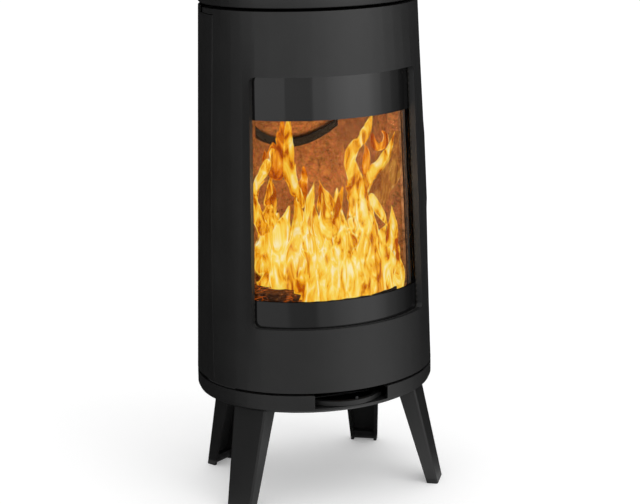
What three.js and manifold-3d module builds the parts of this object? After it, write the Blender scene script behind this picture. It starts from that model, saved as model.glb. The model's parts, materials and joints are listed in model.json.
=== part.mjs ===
// Free-standing wood stove: an oval, slightly barrelled cast body with a full-height curved glass door,
// on a rounded base casting and four splayed channel legs.
// Millimetres, +Z up. The floor is z = 0, the door faces -Y, and the origin is the middle of the footprint.
import * as THREE from 'three';
import { mergeVertices } from 'three/addons/utils/BufferGeometryUtils.js';
import Module from 'manifold-3d';

const wasm = await Module();
wasm.setup();

// ---------------------------------------------------------------- driving dimensions
// clearances
const SEAT = 0.3; // between pieces that rest on or against each other
const RUNNING = 0.08; // radial, pin in its hole
const BOLT_PLAY = 0.4; // radial, bolt in its hole
const WALL_PLAY = 0.6; // plates and lining inside the firebox wall

// envelope
const LEG_HEIGHT = 192.6; // floor to the underside of the base casting
const BASE_HEIGHT = 42.4;
const BODY_GAP = 5; // shadow gap between the base casting and the body
const LID_GAP = 5.5;
const LID_THICKNESS = 22.5;
const HALF_WIDTH_BOTTOM = 235;
const HALF_WIDTH_TOP = 212;
const HALF_DEPTH_BOTTOM = 202.3;
const HALF_DEPTH_TOP = 171.3;
const BARREL = 4.5; // how far the sides swell at mid height
const TOP_SETBACK = 7.8; // the top oval lies this far behind the bottom one

// panels and door
const SKIN = 5;
const FLANGE_WIDTH = 16;
const FLANGE_THICKNESS = 5;
const PANEL_FLANGE_WIDTH = 22;
const DOOR_HALF_ANGLE = 75; // oval angle from the front to the door's edges
const REAR_EDGE_ANGLE = 150; // where the side panels meet the rear panel
const REAR_SKIN = 3;
const SEAM = 1.5; // gap along the door's edges
const PANEL_JOINT_ANGLE = 0.2; // half the gap between side and rear panels

const WINDOW_HALF_ANGLE = 48.5;
const WINDOW_SILL = 122.4; // above the body's lower edge
const WINDOW_HEIGHT = 469.9;
const WINDOW_HEAD = 117.7; // from the window up to the body's upper edge
const WINDOW_CORNER = 10;
const REVEAL_DEPTH = 7.5; // skin to the inner end of the window reveal
const REVEAL_WALL = 6;
const GLASS_SEAL = 2;
const GLASS = 4;
const GLASS_MARGIN = 11; // glass beyond the window opening, above and below
const GLASS_HALF_ANGLE = 54;
const INNER_FRAME = 5;
const INNER_FRAME_HALF_ANGLE = 63;
const INNER_FRAME_MARGIN = 12; // from the door's lower edge
const INNER_FRAME_TOP_MARGIN = 30;
const INNER_FRAME_WALL = 4;
const INNER_WINDOW_HALF_ANGLE = 52;
const INNER_WINDOW_SILL = 156;
const INNER_WINDOW_HEIGHT = 364;
const ROPE_LAND = 6.9; // rim on the inner frame's back that carries the rope
const ROPE = 9.3; // door rope seal, squeezed
const ROPE_WIDTH = 9;
const ROPE_EDGE = 4; // rope to the rim of the inner frame
const FRAME_SCREW_ANGLE = 49;
const FRAME_SCREW_UP = 45; // from the frame's lower edge
const FRAME_SCREW_DOWN = 35; // from its upper edge
const FRAME_SCREW_SIDES = 8;
const FRAME_SCREW_RADIUS = 2.5;
const FRAME_SCREW_HEAD_RADIUS = 5;
const FRAME_SCREW_HEAD = 3;
const FRAME_SCREW_REACH = 9; // into the door's boss
const FRAME_BOSS_RADIUS = 6;

// firebox body and lining
const FIREBOX_WALL = 5;
const FIREBOX_BELOW_BODY_TOP = 25;
const FIRE_OPENING_HALF_ANGLE = 57;
const FIRE_OPENING_SILL = 14; // above the hearth plate
const FIRE_OPENING_RIM = 44.7; // firebox wall above the opening
const ASH_OPENING_SILL = 7; // above the floor plate
const ASH_OPENING_HEIGHT = 118;
const OPENING_CORNER = 12;
const HEARTH_ABOVE_FLOOR = 141; // hearth plate above the floor plate
const HEARTH_PLATE = 6;
const LEDGE_WIDTH = 8; // ledges in the firebox wall that carry the hearth plate
const LEDGE_HEIGHT = 8;
const LEDGE_ANGLES = [0, 75, 135, 225, 285];
const LEDGE_HALF_ANGLE = 14;
const GRATE_HOLE_RADIUS = 80;
const GRATE_RADIUS = 92;
const GRATE_THICKNESS = 9;
const GRATE_RIM = 20;
const GRATE_SLOT = 8;
const GRATE_SLOTS = 7;
const GRATE_PITCH = 18;
const BRICK_THICKNESS = 18;
const BRICK_PLAY = 1;
const LINER = 22;
const LINER_BELOW_TOP = 40;
const LINER_FRONT_ANGLE = 59;
const LINER_CORNER_ANGLE = 118.5;
const LINER_JOINT_ANGLE = 0.5;
const BAFFLE_THICKNESS = 25;
const BAFFLE_SLOPE = 58; // degrees from level
const BAFFLE_FOOT_ABOVE_HEARTH = 283; // where its underside meets the rear lining
const BAFFLE_RISE = 195;
const AIR_BAR_HEIGHT = 16;
const AIR_BAR_DEPTH = 14;
const AIR_BAR_HALF_ANGLE = 37;
const AIR_BAR_FEED_RADIUS = 7;
const GUARD_THICKNESS = 6;
const GUARD_HEIGHT = 20.7;
const GUARD_HALF_ANGLE = 49;
const GUARD_INSET = 3; // behind the firebox wall

// top
const TOP_SHEET = 6;
const TOP_SHEET_OVERHANG = 2; // beyond the firebox wall
const LID_RING_WIDTH = 8;
const LID_RING_INSET = 6; // inside the firebox outline
const LID_EDGE = 4; // rounded edge of the lid
const FLUE_RADIUS = 75; // outside of the flue spigot, 150 mm across
const FLUE_WALL = 5;
const FLUE_BEHIND_CENTRE = 30;
const FLUE_ABOVE_LID = 28;
const COLLAR_FLANGE = 18;
const COLLAR_FLANGE_THICKNESS = 6;
const COLLAR_BOLTS = 3;
const COLLAR_BOLT_RADIUS = 3;
const COLLAR_BOLT_OUT = 9.9; // beyond the spigot
const COLLAR_BOLT_HEAD_RADIUS = 5.5;
const COLLAR_BOLT_HEAD = 4;
const LID_HOLE_PLAY = 3;

// base casting and floor plate
const BASE_WALL = 6;
const BASE_ROUND_IN = 40; // how far the rounded underside turns in
const BASE_ROUND_UP = 19.4;
const FLOOR_PLATE = 6;
const FLOOR_PLATE_PLAY = 1;
const FLOOR_LEDGE_WIDTH = 11;
const FLOOR_LEDGE_ANGLES = [50, 130, 230, 310];
const FLOOR_LEDGE = 8;
const PANEL_RING_WIDTH = 12;
const PANEL_RING_INSET = 10;
const PANEL_RING_END = 258; // it runs round the back and stops short of the hinge
const AIR_SLOT_X = 60; // slots for the air that rises behind the firebox
const AIR_SLOT_Y = 101;
const AIR_SLOT_LENGTH = 60;
const AIR_SLOT_WIDTH = 10;
const AIR_INLET_RADIUS = 45;
const AIR_INLET_Y = -20;
const NOTCH_HALF_WIDTH = 74;
const NOTCH_DEPTH = 26; // down from the rim
const RECESS_DEPTH = 38; // floor plate cut back behind the notch

// air control
const VALVE_SEAT = 3.7;
const VALVE_SEAT_MARGIN = 10; // seat beyond the slide, at each side
const VALVE_SEAT_FRONT = 20; // seat beyond the air inlet
const VALVE_SEAT_REAR = 35;
const VALVE_PLATE = 3;
const VALVE_HALF_WIDTH = 70;
const VALVE_LENGTH = 150;
const VALVE_FRONT_Y = -120;
const VALVE_SLOT_WIDTH = 14;
const VALVE_SLOT_LENGTH = 70;
const VALVE_SLOTS = 2;
const PULL_TRAVEL = 32;
const PULL_RADIUS = 88;
const PULL_HALF_ANGLE = 50;
const PULL_DEPTH = 9;
const PULL_HEIGHT = 9;
const PULL_ARM_WIDTH = 12;
const PULL_ARM_THICKNESS = 4;
const PULL_ARM_LENGTH = 75;
const PULL_ABOVE_NOTCH = 1.2;
const TAB_X = 9;
const TAB_WIDTH = 5;
const TAB_THICKNESS = 3.5;
const TAB_HEIGHT = 5;
const PULL_SCREW_RADIUS = 2.5;
const PULL_SCREW_HEAD_RADIUS = 4.6;
const PULL_SCREW_HEAD = 2.5;

// legs
const FRONT_FOOT_IN = 21.8; // outer face of the foot, inside the body's greatest width
const FRONT_FOOT_BACK = 69.9; // and behind its front
const REAR_FOOT_IN = 67.4;
const REAR_FOOT_FORWARD = 56.7; // from the body's rear
const FRONT_LEG_ANGLE = 55.9; // outward direction, from the front
const REAR_LEG_ANGLE = 149;
const LEG_SPLAY = 0.225; // outward run for each millimetre of height
const FOOT_WIDTH = 54;
const LEG_TOP_WIDTH = 74;
const FOOT_DEPTH = 22;
const LEG_TOP_DEPTH = 35;
const LEG_WALL = 6;
const LEG_CHAMFER = 3;
const FOOT_WEB_HEIGHT = 17;
const FOOT_WEB_LIFT = 4;
const FOOT_WEB_SETBACK = 2.5;
const LEG_PLATE = 8;
const LEG_PLATE_DEPTH = 58;
const LEG_BOLT_RADIUS = 4;
const LEG_BOLT_HEAD_RADIUS = 7.5;
const LEG_BOLT_HEAD = 5.3;
const LEG_BOLT_GRIP = 10; // how far it runs up into the boss
const LEG_BOLT_SETBACK = 44; // from the leg's outer face
const BOSS_RADIUS = 12;
const BOSS_HEIGHT = 14;

// door hinge, on the left
const HINGE_INSET = 17;
const HINGE_Y = 2;
const HINGE_PIN_RADIUS = 4;
const PIN_END = 5; // how far the pin holes are cut past the pins
const EAR_RADIUS = 14;
const EAR_THICKNESS = 9.5;
const EAR_BELOW_TOP = 0.5;
const EAR_FRONT_Y = -75;
const EAR_NOTCH_REAR_Y = 27;
const EAR_PLAY = 1.5;
const EAR_BRACKET_GAP = 1; // room for the leaning ear as it turns
const BRACKET_HEIGHT = 13;
const BRACKET_RADIUS = 9;
const LEAF_THICKNESS = 3;
const LEAF_RELIEF = 1.6; // cut from the panel's edge above the leaf, which rises as the door opens
const LEAF_RADIUS = 11;
const LEAF_FRONT_Y = -98;
const LEAF_RELIEF_REAR_Y = 44;
const WASHER_RADIUS = 7;
const WASHER_PLAY = 0.4; // above and below the washer, because the pin leans

// side handle and latch, on the right
const HANDLE_BOTTOM = 320; // above the body's lower edge
const HANDLE_LENGTH = 130;
const HANDLE_PIN_ANGLE = 71;
const HANDLE_PIN_INSET = 14;
const HANDLE_PIN_RADIUS = 3;
const HANDLE_KNUCKLE_RADIUS = 7;
const HANDLE_BAR = 8;
const GRIP_ANGLE = 81;
const GRIP_INSET = 6.5;
const GRIP_RADIUS = 5.5;
const LUG_THICKNESS = 8;
const LUG_PLAY = 0.5;
const HOOK_REACH = 27;
const HOOK_BAR = 7;
const HOOK_NOSE = 12;
const HOOK_HEIGHT = 60;
const LOCK_ANGLE = 20; // how far the handle is pressed in to lock
const KEEPER_LENGTH = 10;
const KEEPER_THICKNESS = 4;
const KEEPER_PLAY = 1.5;
const KEEPER_SIDE_PLAY = 3;
const RECESS_ANGLE = 87; // rear edge of the finger recess in the side panel
const HANDLE_RECESS_PLAY = 10;

// ash pan
const PAN_HALF_WIDTH = 98;
const PAN_FRONT_Y = -132;
const PAN_LENGTH = 235;
const PAN_HEIGHT = 52;
const PAN_WALL = 2;
const PAN_LIP = 14;
const PAN_LIP_HALF_WIDTH = 32;
const PAN_LIP_THICKNESS = 3;

// vents in the rear panel
const VENT_COUNT = 5;
const VENT_WIDTH = 8;
const VENT_HEIGHT = 60;
const VENT_PITCH = 24;
const VENT_FROM_TOP = 120;

// roundness
const STEP = 7.5; // degrees between facets of the oval
const LEVELS = 4; // facets over the body's height
const BIG_ROUND = 36; // facets of the flue collar and the grate
const ROUND = 24; // of pins
const SMALL_ROUND = 12; // of bolts
const PAST = 1; // how far a cutting tool runs past a face
const FAR = 1000; // longer than any piece

// ---------------------------------------------------------------- levels and colours
const BASE_TOP = LEG_HEIGHT + BASE_HEIGHT;
const BODY_BOTTOM = BASE_TOP + BODY_GAP;
const BODY_HEIGHT = WINDOW_SILL + WINDOW_HEIGHT + WINDOW_HEAD;
const BODY_TOP = BODY_BOTTOM + BODY_HEIGHT;
const LID_BOTTOM = BODY_TOP + LID_GAP;
const LID_TOP = LID_BOTTOM + LID_THICKNESS;
const FLOOR_TOP = BASE_TOP;
const FLOOR_BOTTOM = FLOOR_TOP - FLOOR_PLATE;
const BASE_FLOOR_TOP = LEG_HEIGHT + BASE_WALL;
const FIREBOX_BOTTOM = FLOOR_TOP + SEAT;
const FIREBOX_TOP = BODY_TOP - FIREBOX_BELOW_BODY_TOP - SEAT;
const HEARTH_BOTTOM = FLOOR_TOP + HEARTH_ABOVE_FLOOR;
const HEARTH_TOP = HEARTH_BOTTOM + HEARTH_PLATE;
const TOP_SHEET_BOTTOM = FIREBOX_TOP + SEAT;
const TOP_SHEET_TOP = TOP_SHEET_BOTTOM + TOP_SHEET;

// insets: how far a surface lies inside the outer skin
const SEAL_INSET = REVEAL_DEPTH + SEAT;
const GLASS_INSET = SEAL_INSET + GLASS_SEAL + SEAT;
const FRAME_INSET = GLASS_INSET + GLASS + SEAT;
const ROPE_LAND_INSET = FRAME_INSET + INNER_FRAME + ROPE_LAND;
const ROPE_INSET = ROPE_LAND_INSET + SEAT;
const FIREBOX_INSET = ROPE_INSET + ROPE + SEAT;
const LINER_INSET = FIREBOX_INSET + FIREBOX_WALL + WALL_PLAY;
const LINER_INNER = LINER_INSET + LINER;

const paint = (color, roughness, metalness) => new THREE.MeshStandardMaterial({
  color, roughness, metalness, flatShading: true,
});
const CAST_IRON = paint('#2f2f2f', 0.55, 0.35);
const DARK_IRON = paint('#1c1c1c', 0.7, 0.3);
const STEEL = paint('#3a3a3a', 0.5, 0.6);
const BRIGHT_STEEL = paint('#8c8f92', 0.35, 0.9);
const VERMICULITE = paint('#9a5a38', 0.9, 0.0);
const BRICK = paint('#7d4a30', 0.95, 0.0);
const ROPE_SEAL = paint('#55534e', 0.95, 0.0);
const CERAMIC_GLASS = paint('#3b3b38', 0.08, 0.0);
CERAMIC_GLASS.transparent = true;
CERAMIC_GLASS.opacity = 0.35;

const stove = new THREE.Group();

// ---------------------------------------------------------------- oval body geometry
const radians = THREE.MathUtils.degToRad;
const mix = THREE.MathUtils.lerp;

const ovalAt = (z) => {
  const t = THREE.MathUtils.clamp((z - BODY_BOTTOM) / BODY_HEIGHT, 0, 1);
  const halfWidth = mix(HALF_WIDTH_BOTTOM, HALF_WIDTH_TOP, t);
  const halfDepth = mix(HALF_DEPTH_BOTTOM, HALF_DEPTH_TOP, t);
  return { halfWidth, halfDepth, setback: TOP_SETBACK * t, swell: 4 * BARREL * t * (1 - t) };
};

// Only the outer skin swells: from the inner end of the window reveal inwards, the walls run straight.
const swellAt = (inset, z) => (
  THREE.MathUtils.clamp((REVEAL_DEPTH - inset) / (REVEAL_DEPTH - SKIN), 0, 1) * ovalAt(z).swell
);

// A point that lies `inset` inside the skin, `degrees` round from the front towards +X, at height z.
// It lies on the chord between two facet edges, so the walls nested in each other share their facets.
const skinPoint = (degrees, inset, z) => {
  const oval = ovalAt(z);
  const out = swellAt(inset, z) - inset;
  const edge = (d) => new THREE.Vector3(
    (oval.halfWidth + out) * Math.sin(radians(d)),
    oval.setback - (oval.halfDepth + out) * Math.cos(radians(d)),
    z,
  );
  const before = Math.floor(degrees / STEP) * STEP;
  return edge(before).lerp(edge(before + STEP), (degrees - before) / STEP);
};

// The outward direction of a wall there.
const skinNormal = (degrees, inset, z) => {
  const along = skinPoint(degrees + 0.5, inset, z).sub(skinPoint(degrees - 0.5, inset, z));
  const up = skinPoint(degrees, inset, z + 1).sub(skinPoint(degrees, inset, z - 1));
  return along.cross(up).normalize();
};

// The way round the skin that one degree makes, in millimetres, for opening corners.
const millimetresPerDegree = (degrees, z) => {
  const oval = ovalAt(z);
  return radians(1) * Math.hypot(
    oval.halfWidth * Math.cos(radians(degrees)),
    oval.halfDepth * Math.sin(radians(degrees)),
  );
};

const stationsBetween = (from, to) => {
  const inner = [];
  for (let d = Math.floor(from / STEP + 1) * STEP; d < to - 0.01; d += STEP) inner.push(d);
  return [from, ...inner, to];
};

const levelsBetween = (bottom, top, count = LEVELS) => (
  Array.from({ length: count + 1 }, (_, i) => mix(bottom, top, i / count))
);

// ---------------------------------------------------------------- solids
const toSolid = (geometry) => {
  const plain = geometry.clone();
  plain.deleteAttribute('normal');
  plain.deleteAttribute('uv');
  const merged = mergeVertices(plain, 1e-4);
  const mesh = new wasm.Mesh({
    numProp: 3,
    vertProperties: new Float32Array(merged.attributes.position.array),
    triVerts: new Uint32Array(merged.index.array),
  });
  return new wasm.Manifold(mesh);
};

const toGeometry = (solid) => {
  const mesh = solid.getMesh();
  const points = new Float32Array(mesh.numVert * 3);
  for (let i = 0; i < mesh.numVert; i += 1) {
    points.set(mesh.vertProperties.subarray(i * mesh.numProp, i * mesh.numProp + 3), i * 3);
  }
  const geometry = new THREE.BufferGeometry();
  geometry.setAttribute('position', new THREE.BufferAttribute(points, 3));
  geometry.setIndex(new THREE.BufferAttribute(new Uint32Array(mesh.triVerts), 1));
  geometry.computeVertexNormals();
  return geometry;
};

const addPiece = (name, solid, material) => {
  const mesh = new THREE.Mesh(toGeometry(solid), material);
  mesh.name = name;
  stove.add(mesh);
};

const join = (...solids) => solids.reduce((whole, next) => whole.add(next));
const cut = (solid, ...tools) => tools.reduce((rest, tool) => rest.subtract(tool), solid);

const box = (x0, x1, y0, y1, z0, z1) => {
  const geometry = new THREE.BoxGeometry(x1 - x0, y1 - y0, z1 - z0);
  geometry.translate((x0 + x1) / 2, (y0 + y1) / 2, (z0 + z1) / 2);
  return toSolid(geometry);
};

// An upright cylinder.
const disc = (x, y, radius, z0, z1, sides = ROUND) => {
  const geometry = new THREE.CylinderGeometry(radius, radius, z1 - z0, sides);
  geometry.rotateX(Math.PI / 2);
  geometry.translate(x, y, (z0 + z1) / 2);
  return toSolid(geometry);
};

// A cylinder that lies along +Y.
const rod = (x, z, radius, y0, y1, sides = ROUND) => {
  const geometry = new THREE.CylinderGeometry(radius, radius, y1 - y0, sides);
  geometry.translate(x, (y0 + y1) / 2, z);
  return toSolid(geometry);
};

// A plan outline raised from z0 to z1.
const plate = (points, z0, z1) => {
  const shape = new THREE.Shape(points.map(([x, y]) => new THREE.Vector2(x, y)));
  const geometry = new THREE.ExtrudeGeometry(shape, { depth: z1 - z0, bevelEnabled: false });
  geometry.translate(0, 0, z0);
  return toSolid(geometry);
};

// Rings of points joined into one closed body. Each ring is a closed loop with the same point count.
const loftRings = (rings, closed) => {
  const count = rings[0].length;
  const positions = rings.flat().flatMap((p) => [p.x, p.y, p.z]);
  const index = [];
  const spans = closed ? rings.length : rings.length - 1;
  for (let k = 0; k < spans; k += 1) {
    const here = k * count;
    const next = ((k + 1) % rings.length) * count;
    for (let i = 0; i < count; i += 1) {
      const j = (i + 1) % count;
      // The diagonal climbs in the same direction on both sides of a wall, so that nested walls agree.
      if (rings[k][i].z > rings[k][j].z) {
        index.push(here + i, here + j, next + i, here + j, next + j, next + i);
      } else {
        index.push(here + i, here + j, next + j, here + i, next + j, next + i);
      }
    }
  }
  return { positions, index };
};

// Closes both ends of a loft whose first ring has this flat outline.
const capEnds = (body, flat, lastRing) => {
  const flip = THREE.ShapeUtils.isClockWise(flat);
  THREE.ShapeUtils.triangulateShape(flat, []).forEach(([a, b, c]) => {
    const [p, q] = flip ? [c, b] : [b, c];
    body.index.push(a, q, p, lastRing + a, lastRing + p, lastRing + q);
  });
};

const closedGeometry = ({ positions, index }) => {
  const geometry = new THREE.BufferGeometry();
  geometry.setAttribute('position', new THREE.Float32BufferAttribute(positions, 3));
  geometry.setIndex(index);
  return geometry;
};

// The end faces are divided with the swell exaggerated, so that their triangles follow its curve.
const CAP_SWELL = 10;

// A section of [inset, z] points carried round the oval. A station is an angle, or a function of
// inset and z that gives one, for an edge that is not square to the skin.
const sweep = (stations, sectionAt, closed = false) => {
  const first = sectionAt(stations[0]);
  const area = THREE.ShapeUtils.area(first.map(([inset, z]) => new THREE.Vector2(inset, z)));
  const ordered = (section) => (area < 0 ? [...section].reverse() : section);
  const angleOf = (station, inset, z) => (typeof station === 'function' ? station(inset, z) : station);
  const rings = stations.map((station) => (
    ordered(sectionAt(station)).map(([inset, z]) => skinPoint(angleOf(station, inset, z), inset, z))
  ));
  const body = loftRings(rings, closed);
  if (!closed) {
    const flat = ordered(first).map(([inset, z]) => (
      new THREE.Vector2(inset - CAP_SWELL * swellAt(inset, z), z)
    ));
    capEnds(body, flat, (rings.length - 1) * flat.length);
  }
  return toSolid(closedGeometry(body));
};

const sweepAround = (section, step = STEP) => (
  sweep(Array.from({ length: 360 / step }, (_, i) => i * step), () => section, true)
);

// A filled oval body through [inset, z] levels, from the bottom up.
const ovalStack = (levels) => {
  const angles = Array.from({ length: 360 / STEP }, (_, i) => i * STEP);
  const rings = levels.map(([inset, z]) => angles.map((d) => skinPoint(d, inset, z)));
  const body = loftRings(rings, false);
  const centre = (z) => {
    body.positions.push(0, ovalAt(z).setback, z);
    return body.positions.length / 3 - 1;
  };
  const low = centre(levels[0][1]);
  const high = centre(levels[levels.length - 1][1]);
  const last = (levels.length - 1) * angles.length;
  angles.forEach((_, i) => {
    const j = (i + 1) % angles.length;
    body.index.push(low, j, i, high, last + i, last + j);
  });
  return toSolid(closedGeometry(body));
};

// A block that follows the oval between two insets, bounded by a round-cornered opening outline.
const curvedBlock = ({ half, bottom, top, corner = 0 }, outer, inner) => {
  const levels = outer < REVEAL_DEPTH ? LEVELS : 1;
  const cornerAngle = corner / millimetresPerDegree(half, (bottom + top) / 2);
  const arc = [30, 60, 90].map((u) => half - cornerAngle * (1 - Math.sin(radians(u))));
  const right = corner > 0 ? [half - cornerAngle, ...arc] : [half];
  const flat = stationsBetween(-right[0], right[0]).slice(1, -1);
  const stations = [...right.map((d) => -d).reverse(), ...flat, ...right];
  const rise = (d) => {
    const past = Math.max(0, Math.abs(d) - (half - cornerAngle)) / (cornerAngle || 1);
    return corner * (1 - Math.sqrt(Math.max(0, 1 - past * past)));
  };
  const heights = (d) => levelsBetween(bottom + rise(d), top - rise(d), levels);
  return sweep(stations, (d) => [
    ...heights(d).map((z) => [outer, z]),
    ...heights(d).reverse().map((z) => [inner, z]),
  ]);
};

const grown = (outline, by) => ({
  half: outline.half + by / millimetresPerDegree(outline.half, outline.bottom),
  bottom: outline.bottom - by,
  top: outline.top + by,
  corner: outline.corner ? outline.corner + by : 0,
});

// A wall panel: skin with an inward flange along its lower edge and, if wanted, its upper one.
const panelSection = (bottom, top, wall, lowerFlange, upperFlange = 0) => {
  const underFlange = upperFlange ? top - FLANGE_THICKNESS : top;
  return [
    ...levelsBetween(bottom, top).map((z) => [0, z]),
    ...(upperFlange ? [[upperFlange, top], [upperFlange, underFlange]] : []),
    ...levelsBetween(bottom + FLANGE_THICKNESS, underFlange).reverse().map((z) => [wall, z]),
    [lowerFlange, bottom + FLANGE_THICKNESS],
    [lowerFlange, bottom],
  ];
};

const hexBolt = (x, y, radius, headRadius, head, z0, z1, headAtTop) => join(
  disc(x, y, radius, z0, z1, SMALL_ROUND),
  headAtTop
    ? disc(x, y, headRadius, z1 - head, z1, 6)
    : disc(x, y, headRadius, z0, z0 + head, 6),
);

// ---------------------------------------------------------------- hinge line of the door
// The axis leans with the tapering side, so it keeps the same depth behind the skin at both ends.
const hingeAt = (z) => {
  const low = HALF_WIDTH_BOTTOM - HINGE_INSET;
  const high = HALF_WIDTH_TOP - HINGE_INSET;
  const t = (z - BODY_BOTTOM) / BODY_HEIGHT;
  return new THREE.Vector3(-mix(low, high, t), HINGE_Y, z);
};

const leaningPin = (radius, z0, z1) => {
  const low = hingeAt(z0);
  const high = hingeAt(z1);
  const geometry = new THREE.CylinderGeometry(radius, radius, low.distanceTo(high), ROUND);
  const axis = high.clone().sub(low).normalize();
  geometry.applyQuaternion(new THREE.Quaternion().setFromUnitVectors(new THREE.Vector3(0, 1, 0), axis));
  const middle = low.add(high).multiplyScalar(0.5);
  geometry.translate(middle.x, middle.y, middle.z);
  return toSolid(geometry);
};

// The hinge-side seam is rounded about the hinge line, so the door's edge swings clear of the panel.
const seamStation = (offset) => (inset, z) => {
  const axis = hingeAt(z);
  const reach = skinPoint(-DOOR_HALF_ANGLE, 0, z).distanceTo(axis) + offset;
  let near = -95;
  let far = -55;
  for (let i = 0; i < 40; i += 1) {
    const middle = (near + far) / 2;
    if (skinPoint(middle, inset, z).distanceTo(axis) < reach) near = middle;
    else far = middle;
  }
  return (near + far) / 2;
};

// ---------------------------------------------------------------- legs
const legSite = (side, front) => {
  const x = side * (HALF_WIDTH_BOTTOM - (front ? FRONT_FOOT_IN : REAR_FOOT_IN));
  const y = front ? FRONT_FOOT_BACK - HALF_DEPTH_BOTTOM : HALF_DEPTH_BOTTOM - REAR_FOOT_FORWARD;
  const angle = side * (front ? FRONT_LEG_ANGLE : REAR_LEG_ANGLE);
  return { x, y, angle };
};

// Leg coordinates: `across` the outer face, `out` from it (negative is inwards), and height.
const legPoint = (site, across, out, z) => {
  const run = out - LEG_SPLAY * z;
  const direction = radians(site.angle);
  return new THREE.Vector3(
    site.x + run * Math.sin(direction) + across * Math.cos(direction),
    site.y - run * Math.cos(direction) + across * Math.sin(direction),
    z,
  );
};

const legLoft = (site, sectionAt, z0, z1) => {
  // Across, out and up make a left-handed set, so the section runs clockwise.
  const clockwise = (z) => {
    const section = sectionAt(z).map(([across, out]) => new THREE.Vector2(across, out));
    return THREE.ShapeUtils.isClockWise(section) ? section : section.reverse();
  };
  const rings = [z0, z1].map((z) => clockwise(z).map((p) => legPoint(site, p.x, p.y, z)));
  const body = loftRings(rings, false);
  capEnds(body, clockwise(z0), rings[0].length);
  return toSolid(closedGeometry(body));
};

const legWidth = (z) => mix(FOOT_WIDTH, LEG_TOP_WIDTH, z / LEG_HEIGHT);
const legDepth = (z) => mix(FOOT_DEPTH, LEG_TOP_DEPTH, z / LEG_HEIGHT);

const channelSection = (z) => {
  const w = legWidth(z) / 2;
  const d = legDepth(z);
  return [
    [-w + LEG_CHAMFER, 0], [-w, -LEG_CHAMFER], [-w, -d], [-w + LEG_WALL, -d],
    [-w + LEG_WALL, -LEG_WALL], [w - LEG_WALL, -LEG_WALL], [w - LEG_WALL, -d], [w, -d],
    [w, -LEG_CHAMFER], [w - LEG_CHAMFER, 0],
  ];
};

const fillSection = (depthAt) => (z) => {
  const w = legWidth(z) / 2 - LEG_WALL / 2;
  return [[-w, -LEG_WALL / 2], [-w, -depthAt(z)], [w, -depthAt(z)], [w, -LEG_WALL / 2]];
};

// ---------------------------------------------------------------- base casting
const baseLevels = (extra) => {
  const turns = [90, 55, 25, 0].map((u) => [
    BASE_ROUND_IN * (1 - Math.cos(radians(u))) - extra,
    LEG_HEIGHT + BASE_ROUND_UP * (1 - Math.sin(radians(u))) - extra,
  ]);
  return [...turns, [-extra, BASE_TOP]];
};

const notchFloor = BASE_TOP - NOTCH_DEPTH;

const boltPlace = (site) => legPoint(site, 0, -LEG_BOLT_SETBACK, LEG_HEIGHT);

const legSites = [
  ['leg_front_left', legSite(-1, true)],
  ['leg_front_right', legSite(1, true)],
  ['leg_rear_left', legSite(-1, false)],
  ['leg_rear_right', legSite(1, false)],
];

const addBase = () => {
  const cavity = ovalStack([
    [BASE_ROUND_IN + BASE_WALL / 2, BASE_FLOOR_TOP],
    [BASE_WALL, LEG_HEIGHT + BASE_ROUND_UP + BASE_WALL / 2],
    [BASE_WALL, BASE_TOP + 1],
  ]);
  const ledges = FLOOR_LEDGE_ANGLES.map((middle) => sweep(
    stationsBetween(middle - LEDGE_HALF_ANGLE, middle + LEDGE_HALF_ANGLE),
    () => [
      [BASE_WALL / 2, FLOOR_BOTTOM - SEAT - FLOOR_LEDGE],
      [BASE_WALL + FLOOR_LEDGE_WIDTH, FLOOR_BOTTOM - SEAT - FLOOR_LEDGE],
      [BASE_WALL + FLOOR_LEDGE_WIDTH, FLOOR_BOTTOM - SEAT],
      [BASE_WALL / 2, FLOOR_BOTTOM - SEAT],
    ],
  ));
  const bossTop = BASE_FLOOR_TOP + BOSS_HEIGHT;
  const bosses = legSites.map(([, site]) => {
    const p = boltPlace(site);
    return disc(p.x, p.y, BOSS_RADIUS, BASE_FLOOR_TOP - PAST, bossTop);
  });
  const boltHoles = legSites.map(([, site]) => {
    const p = boltPlace(site);
    return disc(
      p.x, p.y, LEG_BOLT_RADIUS + BOLT_PLAY, LEG_HEIGHT - PAST, bossTop + PAST, SMALL_ROUND,
    );
  });
  const notch = box(
    -NOTCH_HALF_WIDTH, NOTCH_HALF_WIDTH, -HALF_DEPTH_BOTTOM - 10, -HALF_DEPTH_BOTTOM * 0.8,
    notchFloor, BASE_TOP + 1,
  );
  const inlet = disc(0, AIR_INLET_Y, AIR_INLET_RADIUS, LEG_HEIGHT - 1, BASE_FLOOR_TOP + 1);
  const shell = join(cut(ovalStack(baseLevels(0)), cavity), ...ledges, ...bosses);
  addPiece('base_casting', cut(shell, notch, inlet, ...boltHoles), CAST_IRON);
};

const addLegs = () => {
  const underside = ovalStack(baseLevels(SEAT));
  legSites.forEach(([name, site]) => {
    const channel = legLoft(site, channelSection, 0, LEG_HEIGHT + BASE_ROUND_UP);
    const web = legLoft(
      site, fillSection((z) => legDepth(z) - FOOT_WEB_SETBACK),
      FOOT_WEB_LIFT, FOOT_WEB_LIFT + FOOT_WEB_HEIGHT,
    );
    const plateTop = LEG_HEIGHT - SEAT;
    const head = legLoft(site, fillSection(() => LEG_PLATE_DEPTH), plateTop - LEG_PLATE, plateTop);
    const p = boltPlace(site);
    const hole = disc(
      p.x, p.y, LEG_BOLT_RADIUS + BOLT_PLAY, plateTop - 3 * LEG_PLATE, plateTop + PAST, SMALL_ROUND,
    );
    addPiece(name, cut(join(channel, web, head), underside, hole), CAST_IRON);
    const under = plateTop - LEG_PLATE - SEAT;
    addPiece(name.replace('leg', 'leg_bolt'), hexBolt(
      p.x, p.y, LEG_BOLT_RADIUS, LEG_BOLT_HEAD_RADIUS, LEG_BOLT_HEAD, under - LEG_BOLT_HEAD,
      BASE_FLOOR_TOP + LEG_BOLT_GRIP, false,
    ), BRIGHT_STEEL);
  });
};

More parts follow.
